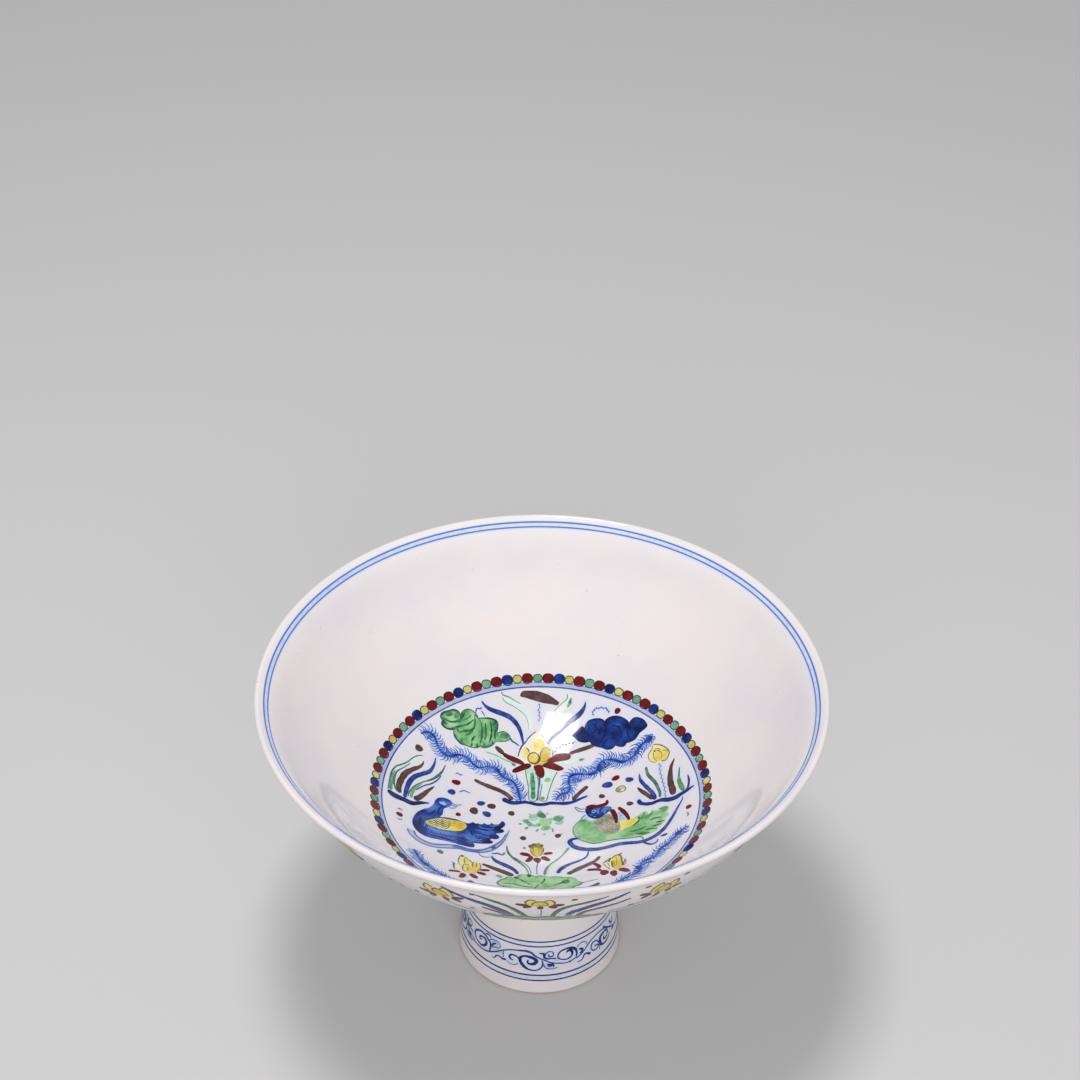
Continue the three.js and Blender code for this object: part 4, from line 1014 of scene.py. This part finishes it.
CLUMP_LEAF_TOP = ("-13.5,54 -12.5,56 -10.6,56.6 -8.3,56 -6.4,57.9 -3.5,58.9 -1.2,57.8 .7,59.1 3.1,58.7 "
                  "5.4,57.3 7.8,57.9 10.6,57 12.3,55.2 14.4,54.2")
CLUMP_VEINS = ("0,48 .2,52 0,58", "0,52 -3.5,54.4 -6.4,57.6", "0,52 4,54.6 7.3,57.6",
               "0,50 -4.7,51 -11.3,52.6", "0,50 5.9,50.8 12.3,52.4")
# Blades of each clump. Their dark tones are partly painted shade for the shadow under the lip.
CLUMP_BLADES = (
    ("blue", ".2,69 .3,66 .1,61", 0.3, 0.3),
    ("teal", "-13,77.2 -10.6,75 -7.8,72.4 -5.9,69.4 -4.6,65.6 -3.7,62 -3,58.5",
     (0.5, 1.5, 1.6, 1.8, 1.4), 0.7),
    ("blue", "-20,78.2 -17.6,75 -14.4,72.2 -10.9,69.3 -8.4,65.6 -6.9,62 -6.3,59",
     (0.6, 1.7, 2.5, 2.8, 2.0), 0.8),
    ("brown", "-12.6,66.3 -10.5,64.2 -9,62 -8.3,60 -8,57.6", (1.0, 1.8, 1.8, 1.5)),
    ("teal", "13.8,76.6 10,74 6.6,72 4.6,69.5 3.6,66.5 3,63 2.7,59", (0.5, 1.4, 1.6, 1.7, 1.4), 0.7),
    ("blue", "18.2,76.8 15,73.2 11,70 8.5,67 6.8,64 6.1,60", (0.7, 1.9, 2.5, 2.6, 1.9), 0.8),
    ("brown", "19.2,70.7 16,67.9 12.6,66 10,64 8.9,61 8.9,57.6", (0.8, 1.7, 1.9, 1.9, 1.5)),
)
CLUMP_DABS = (("brown", -13.6, 77), ("red", 6.8, 77), ("blue", 30.6, 77.2), ("red", -28.6, 62),
              ("brown", 22, 77), ("blue", -15, 62.4), ("brown", 20.6, 61.6), ("red", 35, 58.4),
              ("brown", -34, 57.8), ("blue", 30, 60))


def lotus(x, y, size, lean=0, wide=1.0):
    """A lotus flower on the outside: yellow petals, olive outlines and five red petals below."""
    c, s = math.cos(math.radians(lean)), math.sin(math.radians(lean))

    def placed(text):
        turned = [(u * c - v * s, u * s + v * c) for u, v in read(text)]
        return [(x + u * size * wide / frieze.across, y + v * size) for u, v in turned]

    for text, tone, lift in LOTUS_PETALS:
        frieze.fill("yellow", placed(text), tone, lift)
    frieze.detail("olive", placed("-1.2,-.8 -.4,-1.3 .6,-1.2 1.2,-.6"), (0.4, 0.8, 0.4), 0.5)
    for text in LOTUS_OUTLINES:
        frieze.detail("olive", placed(text), (0.4, 0.6, 0.4), 0.6)
    for text in LOTUS_SEPALS:
        frieze.stroke("red", placed(text), (1.2, 2.1, 1.1), 0.75)


def clump():
    """Three lotus flowers with their stems, blades and leaf, over the water."""
    lotus(0, 73.8, 0.78, wide=1.4)
    for row in CLUMP_BLADES:
        frieze.stroke(*row)
    lotus(-21, 71, 1.14, 8)
    lotus(26.2, 70.6, 1.14, -10)
    for text in ("-21,65.4 -19.4,62 -15,58", "25.6,64.6 23,61 16,57.6"):
        frieze.stroke("blue", text, 0.3, 0.3)
    frieze.fill("green", CLUMP_LEAF, 0.35, spread=0.5)
    frieze.stroke("teal", CLUMP_LEAF, 0.6, 0.8, OVER, closed=True)
    frieze.stroke("green", CLUMP_LEAF_TOP, (1.0, 1.8, 1.6, 2.0, 1.6, 1.8, 1.0), 1.0, LINE + 0.01)
    for text in CLUMP_VEINS:
        frieze.stroke("green", text, (0.4, 0.9, 0.4), 0.95, OVER)
    for text in ("-17.5,45.8 -20,48.2 -23.5,47.2 -27,49.4 -30.5,48.4 -34.5,50.4",
                 "17.8,46.2 20.6,48.4 24,47.4 28,49.8 31.6,48.6"):
        frieze.weed(text, 2.4, 2.2)
    frieze.stroke("blue", "-30,44.6 -24,43.4 -18,44.4 -12,43.2 -6,44.2 0,43.2 6,44.2 12,43.2 18,44.4 "
                  "24,43.4 30,44.4", (0.5, 1.2, 0.9, 1.3, 0.9, 1.2, 0.5), 0.7)
    for colour, x, y in CLUMP_DABS:
        frieze.dab(colour, x, y, 1.8, 1.3, 15)


for k in range(CLUMPS):
    frieze.shift = k * 2 * math.pi * FRIEZE_RADIUS / CLUMPS
    clump()

# Foot: double lines, and a scroll in two units that take turns
foot = Field("foot", on_foot, FOOT_TURN)
for y, width, tone in ((20.85, 0.5, 0.75), (18.98, 0.5, 0.75), (7.48, 0.55, 0.85), (5.4, 0.52, 0.85),
                       (41.6, 0.4, 0.6), (40.2, 0.4, 0.6)):
    foot.ring("blue", y, width, tone)
for y, width, tone in ((19.9, 1.5, 0.2), (6.44, 1.7, 0.25), (40.9, 1.0, 0.0)):
    foot.ring("pale", y, width, tone, WASH)

SCROLL_THINNING = 0.9
SCROLL_STEP = 72
SCROLL_A = (
    ("-62,10.7 -55,11 -50,10.8 -45,10.9 -41,11.3 -38,12 -34,12.9 -30,14.2 -25,15.5 -20,16.3 -15,16.7 "
     "-10,16.9 -6,16.5 -3,15.3 0,14.5 4,13.6 8,12.6 12,12 17,11.6",
     (0.35, 0.45, 0.6, 0.5, 0.45, 0.45, 1.0, 0.5, 0.45, 0.4), 0.6),
    ("-39.3,11.8 -38.5,14 -39.2,15.4 -41.4,16.1 -44,16.9 -48,17.3 -52,16.8 -55,15.8 -56.2,14.5 "
     "-54.6,13.2 -52,12.4 -48,12 -44.6,12.7 -42.8,14 -43.4,15.1 -45.8,15.6 -48.6,15.4 -50.2,14.6 "
     "-49,14.1 -47.4,14.6", (0.5, 0.8, 0.7, 0.8, 0.7, 0.5, 0.8, 1.1, 0.7, 0.5), 0.75),
    ("-38,14 -34,14.6 -31,15 -30,16 -31.5,17 -34,17.4 -38,17 -40,16.2", (0.4, 0.35, 0.3, 0.35, 0.4), 0.4),
    ("-33.4,16.3 -35.4,15.9 -37,15 -36.6,14.4", (0.4, 0.8, 0.6), 0.65),
    ("-44.4,17.5 -42.4,18.1 -40,17.9 -38.4,17.3", (0.4, 0.7, 0.3), 0.45),
    ("-36.6,10.2 -34.2,10.5 -33.4,11.3 -32,11.9 -30,11.8 -28,11.5 -24.6,11.5", (0.3, 0.5, 0.5, 0.7, 0.9),
     0.75),
    ("-27,14.8 -27.3,13.4 -27,12.1", 0.35, 0.4),
    ("-24.2,11.2 -20.5,10.5 -17,10.8 -15.4,11.6", 0.3, 0.3),
    ("-19,12.3 -21.5,12.6 -22.2,13.5 -20.8,14.3 -18.4,14.3 -16.2,14 -14.6,13.2",
     (0.4, 0.8, 0.7, 0.6, 0.5), 0.65),
    ("2.2,13.6 2.8,12 1.8,10.7 -.5,9.8 -4,9.4 -8,9.8 -11,10.7 -13.2,12 -14.2,13.4 -13,14.4 -10,14.9 "
     "-6,14.6 -3,14 -1.9,13.1 -3.2,12.2 -5.6,11.9 -7.8,12.1 -8.4,12.9 -7.4,13.5",
     (0.5, 0.6, 0.5, 0.6, 1.2, 1.2, 0.8, 1.2, 1.5, 1.0, 0.5), 0.75),
    ("0,16.6 1.4,16.3 3.8,16.1 3.7,15.2 4.4,14.4 6.4,14.1 10,14 13.2,13.9",
     (0.4, 0.8, 0.9, 0.7, 0.5, 0.6), 0.65),
    ("4.3,14.6 4.6,15.6 5.7,16.5 8,16.9 10,16.6 10.8,15.8 10.2,15 8.4,14.8 7,15.2 7.4,15.9",
     (0.5, 0.45, 0.4, 0.4, 0.6, 0.6), 0.55),
    ("2.6,12.9 3.5,11.5 5.4,10.2 9,9.9 14,10.1", (0.4, 0.4, 0.25), 0.4),
    ("6,11.9 8.2,11.4 10.4,11.6 10.9,10.4", (0.8, 1.5, 0.8, 0.4), 0.75),
)
SCROLL_B = (
    ("12,12 16,11.6 20,11.3 24,11.5 27.2,12 30,12.1 33,12.8 36,13.8 39,15 42,15.9 46,16.5 50,16.8 "
     "55,16.6 58.4,16.2 62,15.1 66,13.9 70,12.8 74,11.8 79,11 84,10.8",
     (0.4, 0.4, 0.5, 0.5, 0.45, 0.45, 0.9, 0.6, 0.5, 0.4), 0.6),
    ("28,12.3 28.9,13.6 28.4,15.2 26.4,16.3 23,16.9 19,16.8 16,16.3 14.3,15.3 14,14.3 15.5,13.4 "
     "18,12.9 21,12.7 24,13.2 25.3,14.2 25,15.3 23.4,16 21.5,15.8 20.6,15.2",
     (0.6, 0.8, 1.2, 0.8, 0.6, 0.5, 0.5, 0.5, 0.8, 1.1, 0.6), 0.7),
    ("29,16.1 31,16.8 34,17.2 36.6,16.8 38.2,16 37.8,15.2", (0.3, 0.35, 0.3), 0.4),
    ("30.6,15.2 32.6,14.8 34,14.4 33,13.5 31,13.2", (0.5, 1.0, 0.8, 0.5), 0.6),
    ("29,10.2 32,10.1 34,10.8 35,11.7 36.8,12 38.6,11.5 41,10.8", (0.3, 0.4, 0.6, 0.7, 1.1), 0.75),
    ("49.9,12.6 49,13.7 47,14.4 44.4,14.6 42.4,14 41.8,12.9 42.5,11.9 44.4,11.2 47,11 49,11.6 49.2,12.3 "
     "47.4,12.6 45,12.7", (0.4, 0.5, 0.6, 0.5, 0.5, 0.5, 0.6), 0.6),
    ("64.2,12.4 63.6,11.5 60,10.7 56,10.5 52.6,11.2 51.4,12.8 51.8,14.2 54,14.8 57,15 60,14.8 61.4,14 "
     "61,12.9 59,12.2 56.6,12.2 55.6,13 57,13.6", (0.4, 0.7, 0.8, 1.3, 1.2, 0.8, 0.7, 0.7, 0.5), 0.75),
    ("56,17.3 57.6,16.9 59,16.4", (0.5, 0.9, 0.4), 0.65),
    ("66,16.9 66.5,15.9 68,14.9 70.4,14.6 71.6,15.4 70.6,16.3", (0.5, 0.9, 0.5, 0.4), 0.6),
    ("68.4,11.3 70,12 71.4,11.6 73,12.4", (0.8, 0.9, 0.4), 0.7),
    ("22.2,11.3 23,11.4 24,11.3", 0.9, 0.9),
    ("50,12.4 50.4,10.8 50.2,9.6", 0.3, 0.4),
)
SCROLL_A_WASHES = ("9.6,13.8 13.4,14 15,13.1 12,12.8", "3.6,11.8 6,12.6 10,12 10.6,10.4 6,10.2",
                   "-36.6,14.2 -33,14.8 -31,15.8 -34,17 -37.6,16.6",
                   "-37,13.4 -31,14.4 -27.4,15 -27.4,13.4 -33,12.9")
for place, strokes, washes in ((0, SCROLL_A, SCROLL_A_WASHES), (0, SCROLL_B, ()),
                               (2, SCROLL_A, SCROLL_A_WASHES), (2, SCROLL_B, ()),
                               (4, SCROLL_A, SCROLL_A_WASHES)):
    foot.shift = math.radians(SCROLL_STEP * place) * FOOT_TURN
    for text, width, tone in strokes:
        foot.stroke("blue", text, np.multiply(width, SCROLL_THINNING), tone, halo=0.9)
    for text in washes:
        foot.wash("pale", text, 0.8)


# Materials
def shader(name):
    """A new material with its node tree and its main shader."""
    material = bpy.data.materials.new(name)
    material.use_nodes = True
    tree = material.node_tree
    return material, tree, tree.nodes["Principled BSDF"]


def feed(tree, socket, value):
    """Link an input to a socket, or set it to a plain value."""
    if isinstance(value, bpy.types.NodeSocket):
        tree.links.new(value, socket)
    else:
        socket.default_value = value


def mix(tree, a, b, factor):
    """Colour mix of two sockets or colours."""
    made = tree.nodes.new("ShaderNodeMix")
    made.data_type = "RGBA"
    for number, value in ((6, a), (7, b), (0, factor)):
        feed(tree, made.inputs[number], value)
    return made.outputs[2]


def place_noise(tree, scale, detail=2.0):
    """Noise that stays where it is on the object."""
    coords = tree.nodes.new("ShaderNodeTexCoord")
    made = tree.nodes.new("ShaderNodeTexNoise")
    for key, value in (("Scale", scale), ("Detail", detail), ("Vector", coords.outputs["Object"])):
        feed(tree, made.inputs[key], value)
    return made.outputs["Fac"]


def spread(tree, value, low, high, to_low=0.0, to_high=1.0):
    """A value's range from low to high, carried over to another range."""
    made = tree.nodes.new("ShaderNodeMapRange")
    for key, given in (("From Min", low), ("From Max", high), ("To Min", to_low), ("To Max", to_high),
                       ("Value", value)):
        feed(tree, made.inputs[key], given)
    return made.outputs["Result"]


def attribute(tree, name):
    """The value that each vertex carries under a name."""
    made = tree.nodes.new("ShaderNodeAttribute")
    made.attribute_name = name
    return made.outputs["Fac"]


def ripple(tree, bsdf, scale, strength, distance=0.0002):
    """Fine unevenness of a glossy surface."""
    bump = tree.nodes.new("ShaderNodeBump")
    for key, value in (("Strength", strength), ("Distance", distance),
                       ("Height", place_noise(tree, scale, 1.0))):
        feed(tree, bump.inputs[key], value)
    feed(tree, bsdf.inputs["Normal"], bump.outputs["Normal"])


def dress(tree, bsdf, colour, roughness, specular=0.5):
    """Give a shader its colour and its gloss."""
    for key, value in (("Base Color", colour), ("Roughness", roughness), ("Specular IOR Level", specular)):
        feed(tree, bsdf.inputs[key], value)


WHITE = rgb(232, 224, 222)
COOL_WHITE = rgb(222, 217, 222)
WARM_WHITE = rgb(236, 222, 214)
SPECK = rgb(150, 120, 95)
TINTS = (("halo_red", rgb(234, 208, 204)), ("halo_green", rgb(206, 226, 214)),
         ("halo_blue", rgb(204, 212, 238)))


def glaze(name, base=WHITE, halos=True, roughness=0.07):
    """Clear glaze over porcelain: cool and warm drifts, tints round the painting, and iron specks."""
    material, tree, bsdf = shader(name)
    cool = mix(tree, base, COOL_WHITE, spread(tree, place_noise(tree, 28, 3), 0.4, 0.75))
    colour = mix(tree, cool, WARM_WHITE, spread(tree, place_noise(tree, 60, 2), 0.55, 0.9, 0, 0.6))
    for key, tint in TINTS if halos else ():
        colour = mix(tree, colour, tint, attribute(tree, key))
    colour = mix(tree, colour, SPECK, spread(tree, place_noise(tree, 1100, 0), 0.87, 0.9, 0, 0.5))
    dress(tree, bsdf, colour, roughness)
    ripple(tree, bsdf, 420, 0.12)
    return material


def ink(name, pale, middle, dark, roughness=0.09, crackle=0.0):
    """Colour that runs from pale to dark with the ink tone of each stroke."""
    material, tree, bsdf = shader(name)
    tone = attribute(tree, "tone")
    grit = spread(tree, place_noise(tree, 700, 3), 0.3, 0.7, -0.16, 0.16)
    add = tree.nodes.new("ShaderNodeMath")
    add.operation = "ADD"
    feed(tree, add.inputs[0], tone)
    feed(tree, add.inputs[1], grit)
    tone = add.outputs[0]
    colour = mix(tree, rgb(*pale), rgb(*middle), spread(tree, tone, 0.0, 0.5))
    colour = mix(tree, colour, rgb(*dark), spread(tree, tone, 0.5, 1.0))
    dress(tree, bsdf, colour, roughness, 0.25)
    if crackle:
        ripple(tree, bsdf, 3800, crackle)
    return material


# Inks, as rows of key, material, slot, the pale, middle and dark colour, roughness and crackle
INK_ROWS = (
    ("blue", "underglaze_blue", "underglaze_blue", (100, 118, 170), (34, 60, 136), (6, 18, 72)),
    ("sky", "underglaze_blue_light", "underglaze_blue", (112, 144, 214), (62, 98, 184), (18, 44, 124)),
    ("cobalt", "underglaze_blue_deep", "underglaze_blue", (84, 122, 196), (28, 64, 146), (6, 18, 72)),
    ("wash", "underglaze_blue_wash", "underglaze_blue", (204, 214, 240), (158, 182, 234), (118, 150, 218)),
    ("pale", "underglaze_blue_pale", "underglaze_blue", (224, 224, 232), (198, 205, 226), (168, 182, 216)),
    ("red", "iron_red", "iron_red", (132, 26, 24), (100, 9, 11), (50, 3, 7), 0.14),
    ("brown", "aubergine_brown", "brown_enamel", (122, 98, 92), (80, 57, 53), (48, 31, 31), 0.14),
    ("green", "green_enamel", "green_enamel", (164, 204, 156), (108, 172, 110), (20, 84, 52), 0.1, 0.14),
    ("beadgreen", "green_enamel_beads", "green_enamel", (154, 196, 172), (112, 162, 134), (74, 120, 98),
     0.1, 0.14),
    ("teal", "green_enamel_lines", "green_enamel", (128, 156, 150), (66, 104, 98), (24, 54, 54)),
    ("mint", "green_enamel_pale", "green_enamel", (220, 230, 224), (200, 224, 210), (166, 206, 172),
     0.1, 0.14),
    ("yellow", "yellow_enamel", "yellow_enamel", (236, 226, 164), (226, 202, 86), (206, 170, 36), 0.1, 0.1),
    ("beadyellow", "yellow_enamel_beads", "yellow_enamel", (224, 216, 160), (208, 194, 108),
     (180, 162, 70), 0.1, 0.1),
    ("cream", "yellow_enamel_pale", "yellow_enamel", (238, 233, 216), (236, 228, 200), (228, 214, 172), 0.1),
    ("amber", "amber_enamel", "yellow_enamel", (236, 206, 134), (226, 178, 84), (200, 128, 50), 0.1),
    ("olive", "olive_lines", "brown_enamel", (154, 150, 96), (106, 104, 50), (62, 62, 28)),
    ("scale", "grey_feathers", "brown_enamel", (198, 192, 170), (160, 154, 126), (106, 106, 80)),
)
INKS = {key: (ink(name, *style), slot) for key, name, slot, *style in INK_ROWS}

# Pieces, with the angles in degrees from which an edge is sharp
METRE = 1000
MIDDLE = 1e-6
SHARP_TURNED = 50
SHARP_BRUSHED = 35
NEVER_SHARP = 180
BOWL_SEGMENTS = 360
FOOT_SEGMENTS = 288
SLIP_SEGMENTS = 192


def build(name, points, faces, material, slot, attributes, sharp):
    """A named piece, written in metres, smooth except at edges sharper than some degrees."""
    data = bpy.data.meshes.new(name)
    data.from_pydata([(x / METRE, y / METRE, z / METRE) for x, y, z in points], [], faces)
    for key, values in attributes.items():
        layer = data.attributes.new(key, "FLOAT", "POINT")
        layer.data.foreach_set("value", np.array(values, dtype=np.float32))
    bm = bmesh.new()
    bm.from_mesh(data)
    bmesh.ops.recalc_face_normals(bm, faces=bm.faces)
    bm.to_mesh(data)
    bm.free()
    data.shade_smooth()
    data.set_sharp_from_angle(angle=math.radians(sharp))
    obj = bpy.data.objects.new(name, data)
    bpy.context.scene.collection.objects.link(obj)
    data.materials.append(material)
    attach(obj, "root")
    return obj


def halo_values(flat, halos, reach=0.5, most=0.75, border=3):
    """How much of each halo reaches each point, given in the field's own flat coordinates."""
    values = {}
    for colour, paths in halos.items():
        total = np.zeros(len(flat))
        for path, width, strength in paths:
            close = (flat > path.min(0) - border) & (flat < path.max(0) + border)
            near = np.where(close.all(1))[0]
            if not len(near):
                continue
            away = np.sqrt(((flat[near, None, :] - path[None, ::2, :]) ** 2).sum(2)).min(1)
            value = strength * np.exp(-np.maximum(away - width, 0) ** 2 / (2 * reach ** 2))
            total[near] = 1 - (1 - total[near]) * (1 - np.clip(value, 0, 1) * most)
        values["halo_" + colour] = np.clip(total, 0, 1)
    return values


def unrolled(point, turned, seam):
    """How far round from the front a point lies, negative past the seam."""
    a = math.atan2(point[0], -point[1]) % (2 * math.pi)
    return (a - 2 * math.pi if a > seam else a) * turned


def lathe(rows, segments, closed=False):
    """Turned body from rows (radius, height). A row in the middle makes a single point."""
    points, rings = [], []
    for r, z in rows:
        count = 1 if r < MIDDLE else segments
        rings.append([len(points) + k % count for k in range(segments)])
        points += [(r * math.cos(2 * math.pi * k / segments), r * math.sin(2 * math.pi * k / segments), z)
                   for k in range(count)]
    faces = []
    for a, b in zip(rings, rings[1:] + (rings[:1] if closed else [])):
        for k in range(segments):
            n = (k + 1) % segments
            faces.append(tuple(dict.fromkeys((a[k], b[k], b[n], a[n]))))
    return points, faces


def read_off(profile, value, given=0, wanted=1):
    """A profile's radius or height where the other has a value."""
    return np.interp(value, profile[:, given], profile[:, wanted])


# Bowl
UNDERSIDE_RADIUS = 18.8
OUTSIDE_FIRST, OUTSIDE_GAP, OUTSIDE_STEP = 1.2, 0.6, 0.9
LIP_STEPS = 12
RIM_RADII = (83.2, 76, -0.8)
WALL_RADII = (75.6, 53.5, -1.4)
WELL_RADII = (52.8, 0.5, -0.72)
MEDALLION_RADIUS = 49
MEDALLION_TINT = 0.78
FRIEZE_START = 55
FRIEZE_SEAM = 2 * math.pi - 0.7


def bowl_rows():
    """Rows of the bowl's outer side, from the middle below to the lip, and of its inner side."""
    middle = FLOOR_HEIGHT - FLOOR
    outer = [(UNDERSIDE_RADIUS * t, middle + (SEAT_HEIGHT - FLOOR_HEIGHT + FLOOR) * t ** 2)
             for t in np.linspace(0, 1, 12)]
    outer += [(SEAT_RADIUS, SEAT_HEIGHT), (SEAT_RADIUS, read_off(OUTSIDE, SEAT_RADIUS))]
    for s in np.arange(OUTSIDE_FIRST, SLANT[-1] - OUTSIDE_GAP, OUTSIDE_STEP):
        outer.append((np.interp(s, SLANT, OUTSIDE[:, 0]), np.interp(s, SLANT, OUTSIDE[:, 1])))
    edge = math.atan2(-OUTWARD[0], OUTWARD[1])
    for k in range(LIP_STEPS + 1):
        a = edge + math.pi * k / LIP_STEPS
        outer.append((LIP[0] + LIP_THICKNESS / 2 * math.cos(a), LIP[1] + LIP_THICKNESS / 2 * math.sin(a)))
    radii = np.concatenate([np.arange(*span) for span in (RIM_RADII, WALL_RADII, WELL_RADII)])
    return outer, [(r, read_off(INSIDE, r)) for r in radii] + [(0.0, FLOOR_HEIGHT)]


def make_bowl():
    """The glazed bowl, with the tints that the painting bleeds into its glaze."""
    outer, inner = bowl_rows()
    first_inner = len(lathe(outer, BOWL_SEGMENTS)[0])
    points, faces = lathe(outer + inner, BOWL_SEGMENTS)
    halos = {"halo_" + tint: np.zeros(len(points)) for tint in pond.halos}
    place = np.array(points)
    radius = np.hypot(place[:, 0], place[:, 1])
    for key, values in halo_values(place[first_inner:, :2], pond.halos).items():
        halos[key][first_inner:] = values
    medallion = np.arange(len(points)) >= first_inner
    medallion &= radius < MEDALLION_RADIUS
    halos["halo_blue"][medallion] = 1 - (1 - halos["halo_blue"][medallion]) * MEDALLION_TINT
    painted = [i for i in range(first_inner) if radius[i] > FRIEZE_START]
    flat = [(unrolled(points[i], FRIEZE_RADIUS, FRIEZE_SEAM), np.interp(radius[i], OUTSIDE[:, 0], SLANT))
            for i in painted]
    for key, values in halo_values(np.array(flat), frieze.halos).items():
        halos[key][painted] = values
    return build("bowl_body_glazed", points, faces, glaze("porcelain_glaze"), "porcelain", halos,
                 SHARP_TURNED)


bowl = make_bowl()
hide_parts("bowl_body")

# Foot
HOLLOW_RADIUS = FOOT_RADIUS - FOOT_WALL
SEAT_INNER = SEAT_RADIUS - SEAT_WIDTH
BARE_INNER = HOLLOW_RADIUS + FOOT_EDGE
BARE_OUTER = FOOT_RADIUS - FOOT_EDGE - 0.25
FOOT_PAINTED = 21.9
UNPAINTED = -50
FOOT_SEAM = math.radians(296)


def make_foot():
    """The glazed foot, open below."""
    hollow = foot_profile(HOLLOW_RADIUS, NECK_RADIUS - FOOT_WALL, SEAT_INNER)
    rows = [(BARE_OUTER, 0.0), (FOOT_RADIUS - 0.3, 0.08), (FOOT_RADIUS - 0.08, 0.25)]
    rows += [(read_off(FOOT, z, 1, 0), z) for z in (*np.arange(0.5, 45.5, 0.5), FOOT_HEIGHT)]
    rows += [(SEAT_INNER, FOOT_HEIGHT)]
    rows += [(read_off(hollow, z, 1, 0), z) for z in np.arange(45, 0.6, -1.5)]
    rows += [(HOLLOW_RADIUS, FOOT_EDGE), (BARE_INNER, 0.0)]
    points, faces = lathe(rows, FOOT_SEGMENTS, closed=True)
    flat = [(unrolled((x, y), FOOT_TURN, FOOT_SEAM), z if math.hypot(x, y) > FOOT_PAINTED else UNPAINTED)
            for x, y, z in points]
    return build("stem_foot_glazed", points, faces, glaze("foot_glaze", rgb(230, 221, 220)), "porcelain",
                 halo_values(np.array(flat), foot.halos), SHARP_TURNED)


stem = make_foot()
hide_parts("stem_foot")


def make_slip():
    """Luting slip between foot and bowl, its outer edge squeezed out into a low bead."""
    rows = [(SEAT_INNER, FOOT_HEIGHT)]
    rows += [(SEAT_RADIUS + SLIP_BULGE * math.sin(math.pi * t), FOOT_HEIGHT + SLIP_THICKNESS * t)
             for t in np.linspace(0, 1, 9)]
    rows += [(SEAT_INNER, FOOT_HEIGHT + SLIP_THICKNESS)]
    material = glaze("slip_glaze", rgb(226, 218, 212), False, 0.25)
    return build("luting_joint_glazed", *lathe(rows, SLIP_SEGMENTS, closed=True), material, "luting_slip",
                 {}, SHARP_TURNED)


joint = make_slip()
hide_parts("luting_joint")


def make_clay_ring():
    """Bare clay on the resting ring, with a burnt edge."""
    rows = [(BARE_INNER + 0.1, 0.04), (BARE_INNER + 0.1, 0.002), (BARE_OUTER, 0.002)]
    rows += [(FOOT_RADIUS + out, z) for out, z in ((-0.29, 0.07), (-0.05, 0.22), (0.02, 0.4), (0.02, 0.56),
                                                   (-0.1, 0.6), (-0.5, 0.3))]
    material, tree, bsdf = shader("bare_clay")
    patches = spread(tree, place_noise(tree, 160, 3), 0.35, 0.7)
    dress(tree, bsdf, mix(tree, rgb(210, 190, 170), rgb(184, 150, 120), patches), 0.8)
    build("foot_ring_clay", *lathe(rows, FOOT_SEGMENTS, closed=True), material, "biscuit", {},
          NEVER_SHARP)


make_clay_ring()

# Painted fields
for field in (pond, rim, frieze, foot):
    for colour, mesh in field.meshes.items():
        material, slot = INKS[colour]
        build(field.name + "_" + colour, mesh.points, mesh.faces, material, slot, {"tone": mesh.tones},
              SHARP_BRUSHED)

# Stage, in metres
FLOOR_REACH = 3
FLOOR_COLOUR = (0.62, 0.61, 0.6, 1)
OBJECT_MIDDLE = (0, 0, 0.05)
ROOM_COLOUR = (0.9, 0.92, 0.95, 1)
ROOM_LIGHT = 0.54


def make_floor():
    """A plain pale grey floor."""
    data = bpy.data.meshes.new("floor")
    corners = [(x * FLOOR_REACH, y * FLOOR_REACH, 0) for x, y in ((-1, -1), (1, -1), (1, 1), (-1, 1))]
    data.from_pydata(corners, [], [(0, 1, 2, 3)])
    obj = bpy.data.objects.new("floor", data)
    bpy.context.scene.collection.objects.link(obj)
    material, tree, bsdf = shader("floor")
    dress(tree, bsdf, FLOOR_COLOUR, 0.7)
    data.materials.append(material)
    return obj


floor = make_floor()


def lamp(name, place, size, power):
    """A rectangular lamp that faces the object's middle."""
    data = bpy.data.lights.new(name, "AREA")
    data.shape = "RECTANGLE"
    data.size, data.size_y = size
    data.energy = power
    obj = bpy.data.objects.new(name, data)
    obj.location = place
    obj.rotation_euler = (Vector(OBJECT_MIDDLE) - Vector(place)).to_track_quat("-Z", "Y").to_euler()
    bpy.context.scene.collection.objects.link(obj)
    return obj


lamp("overhead_softbox", (-0.09, 0.03, 0.95), (0.25, 0.18), 3.6)
front = lamp("front_panel", (0.1, -1.5, 0.75), (1.6, 0.9), 12.0)
front.visible_glossy = False

world = bpy.data.worlds.new("room")
world.use_nodes = True
background = world.node_tree.nodes["Background"]
background.inputs["Color"].default_value = ROOM_COLOUR
background.inputs["Strength"].default_value = ROOM_LIGHT
bpy.context.scene.world = world

# Camera at the photographed angle
CAMERA_PLACE = (-0.001114, -0.56008, 0.58991)
CAMERA_DOWN = math.radians(90 - 37.545)
CAMERA_ROLL = math.radians(0.628)
SENSOR_WIDTH = 36
FOCAL_LENGTH = 83.333
camera_data = bpy.data.cameras.new("camera")
camera_data.sensor_width = SENSOR_WIDTH
camera_data.lens = FOCAL_LENGTH
camera = bpy.data.objects.new("camera", camera_data)
camera.matrix_world = (Matrix.Translation(CAMERA_PLACE) @ Matrix.Rotation(CAMERA_DOWN, 4, "X")
                       @ Matrix.Rotation(CAMERA_ROLL, 4, "Z"))
bpy.context.scene.collection.objects.link(camera)
bpy.context.scene.camera = camera
bpy.context.scene.view_settings.view_transform = "Standard"
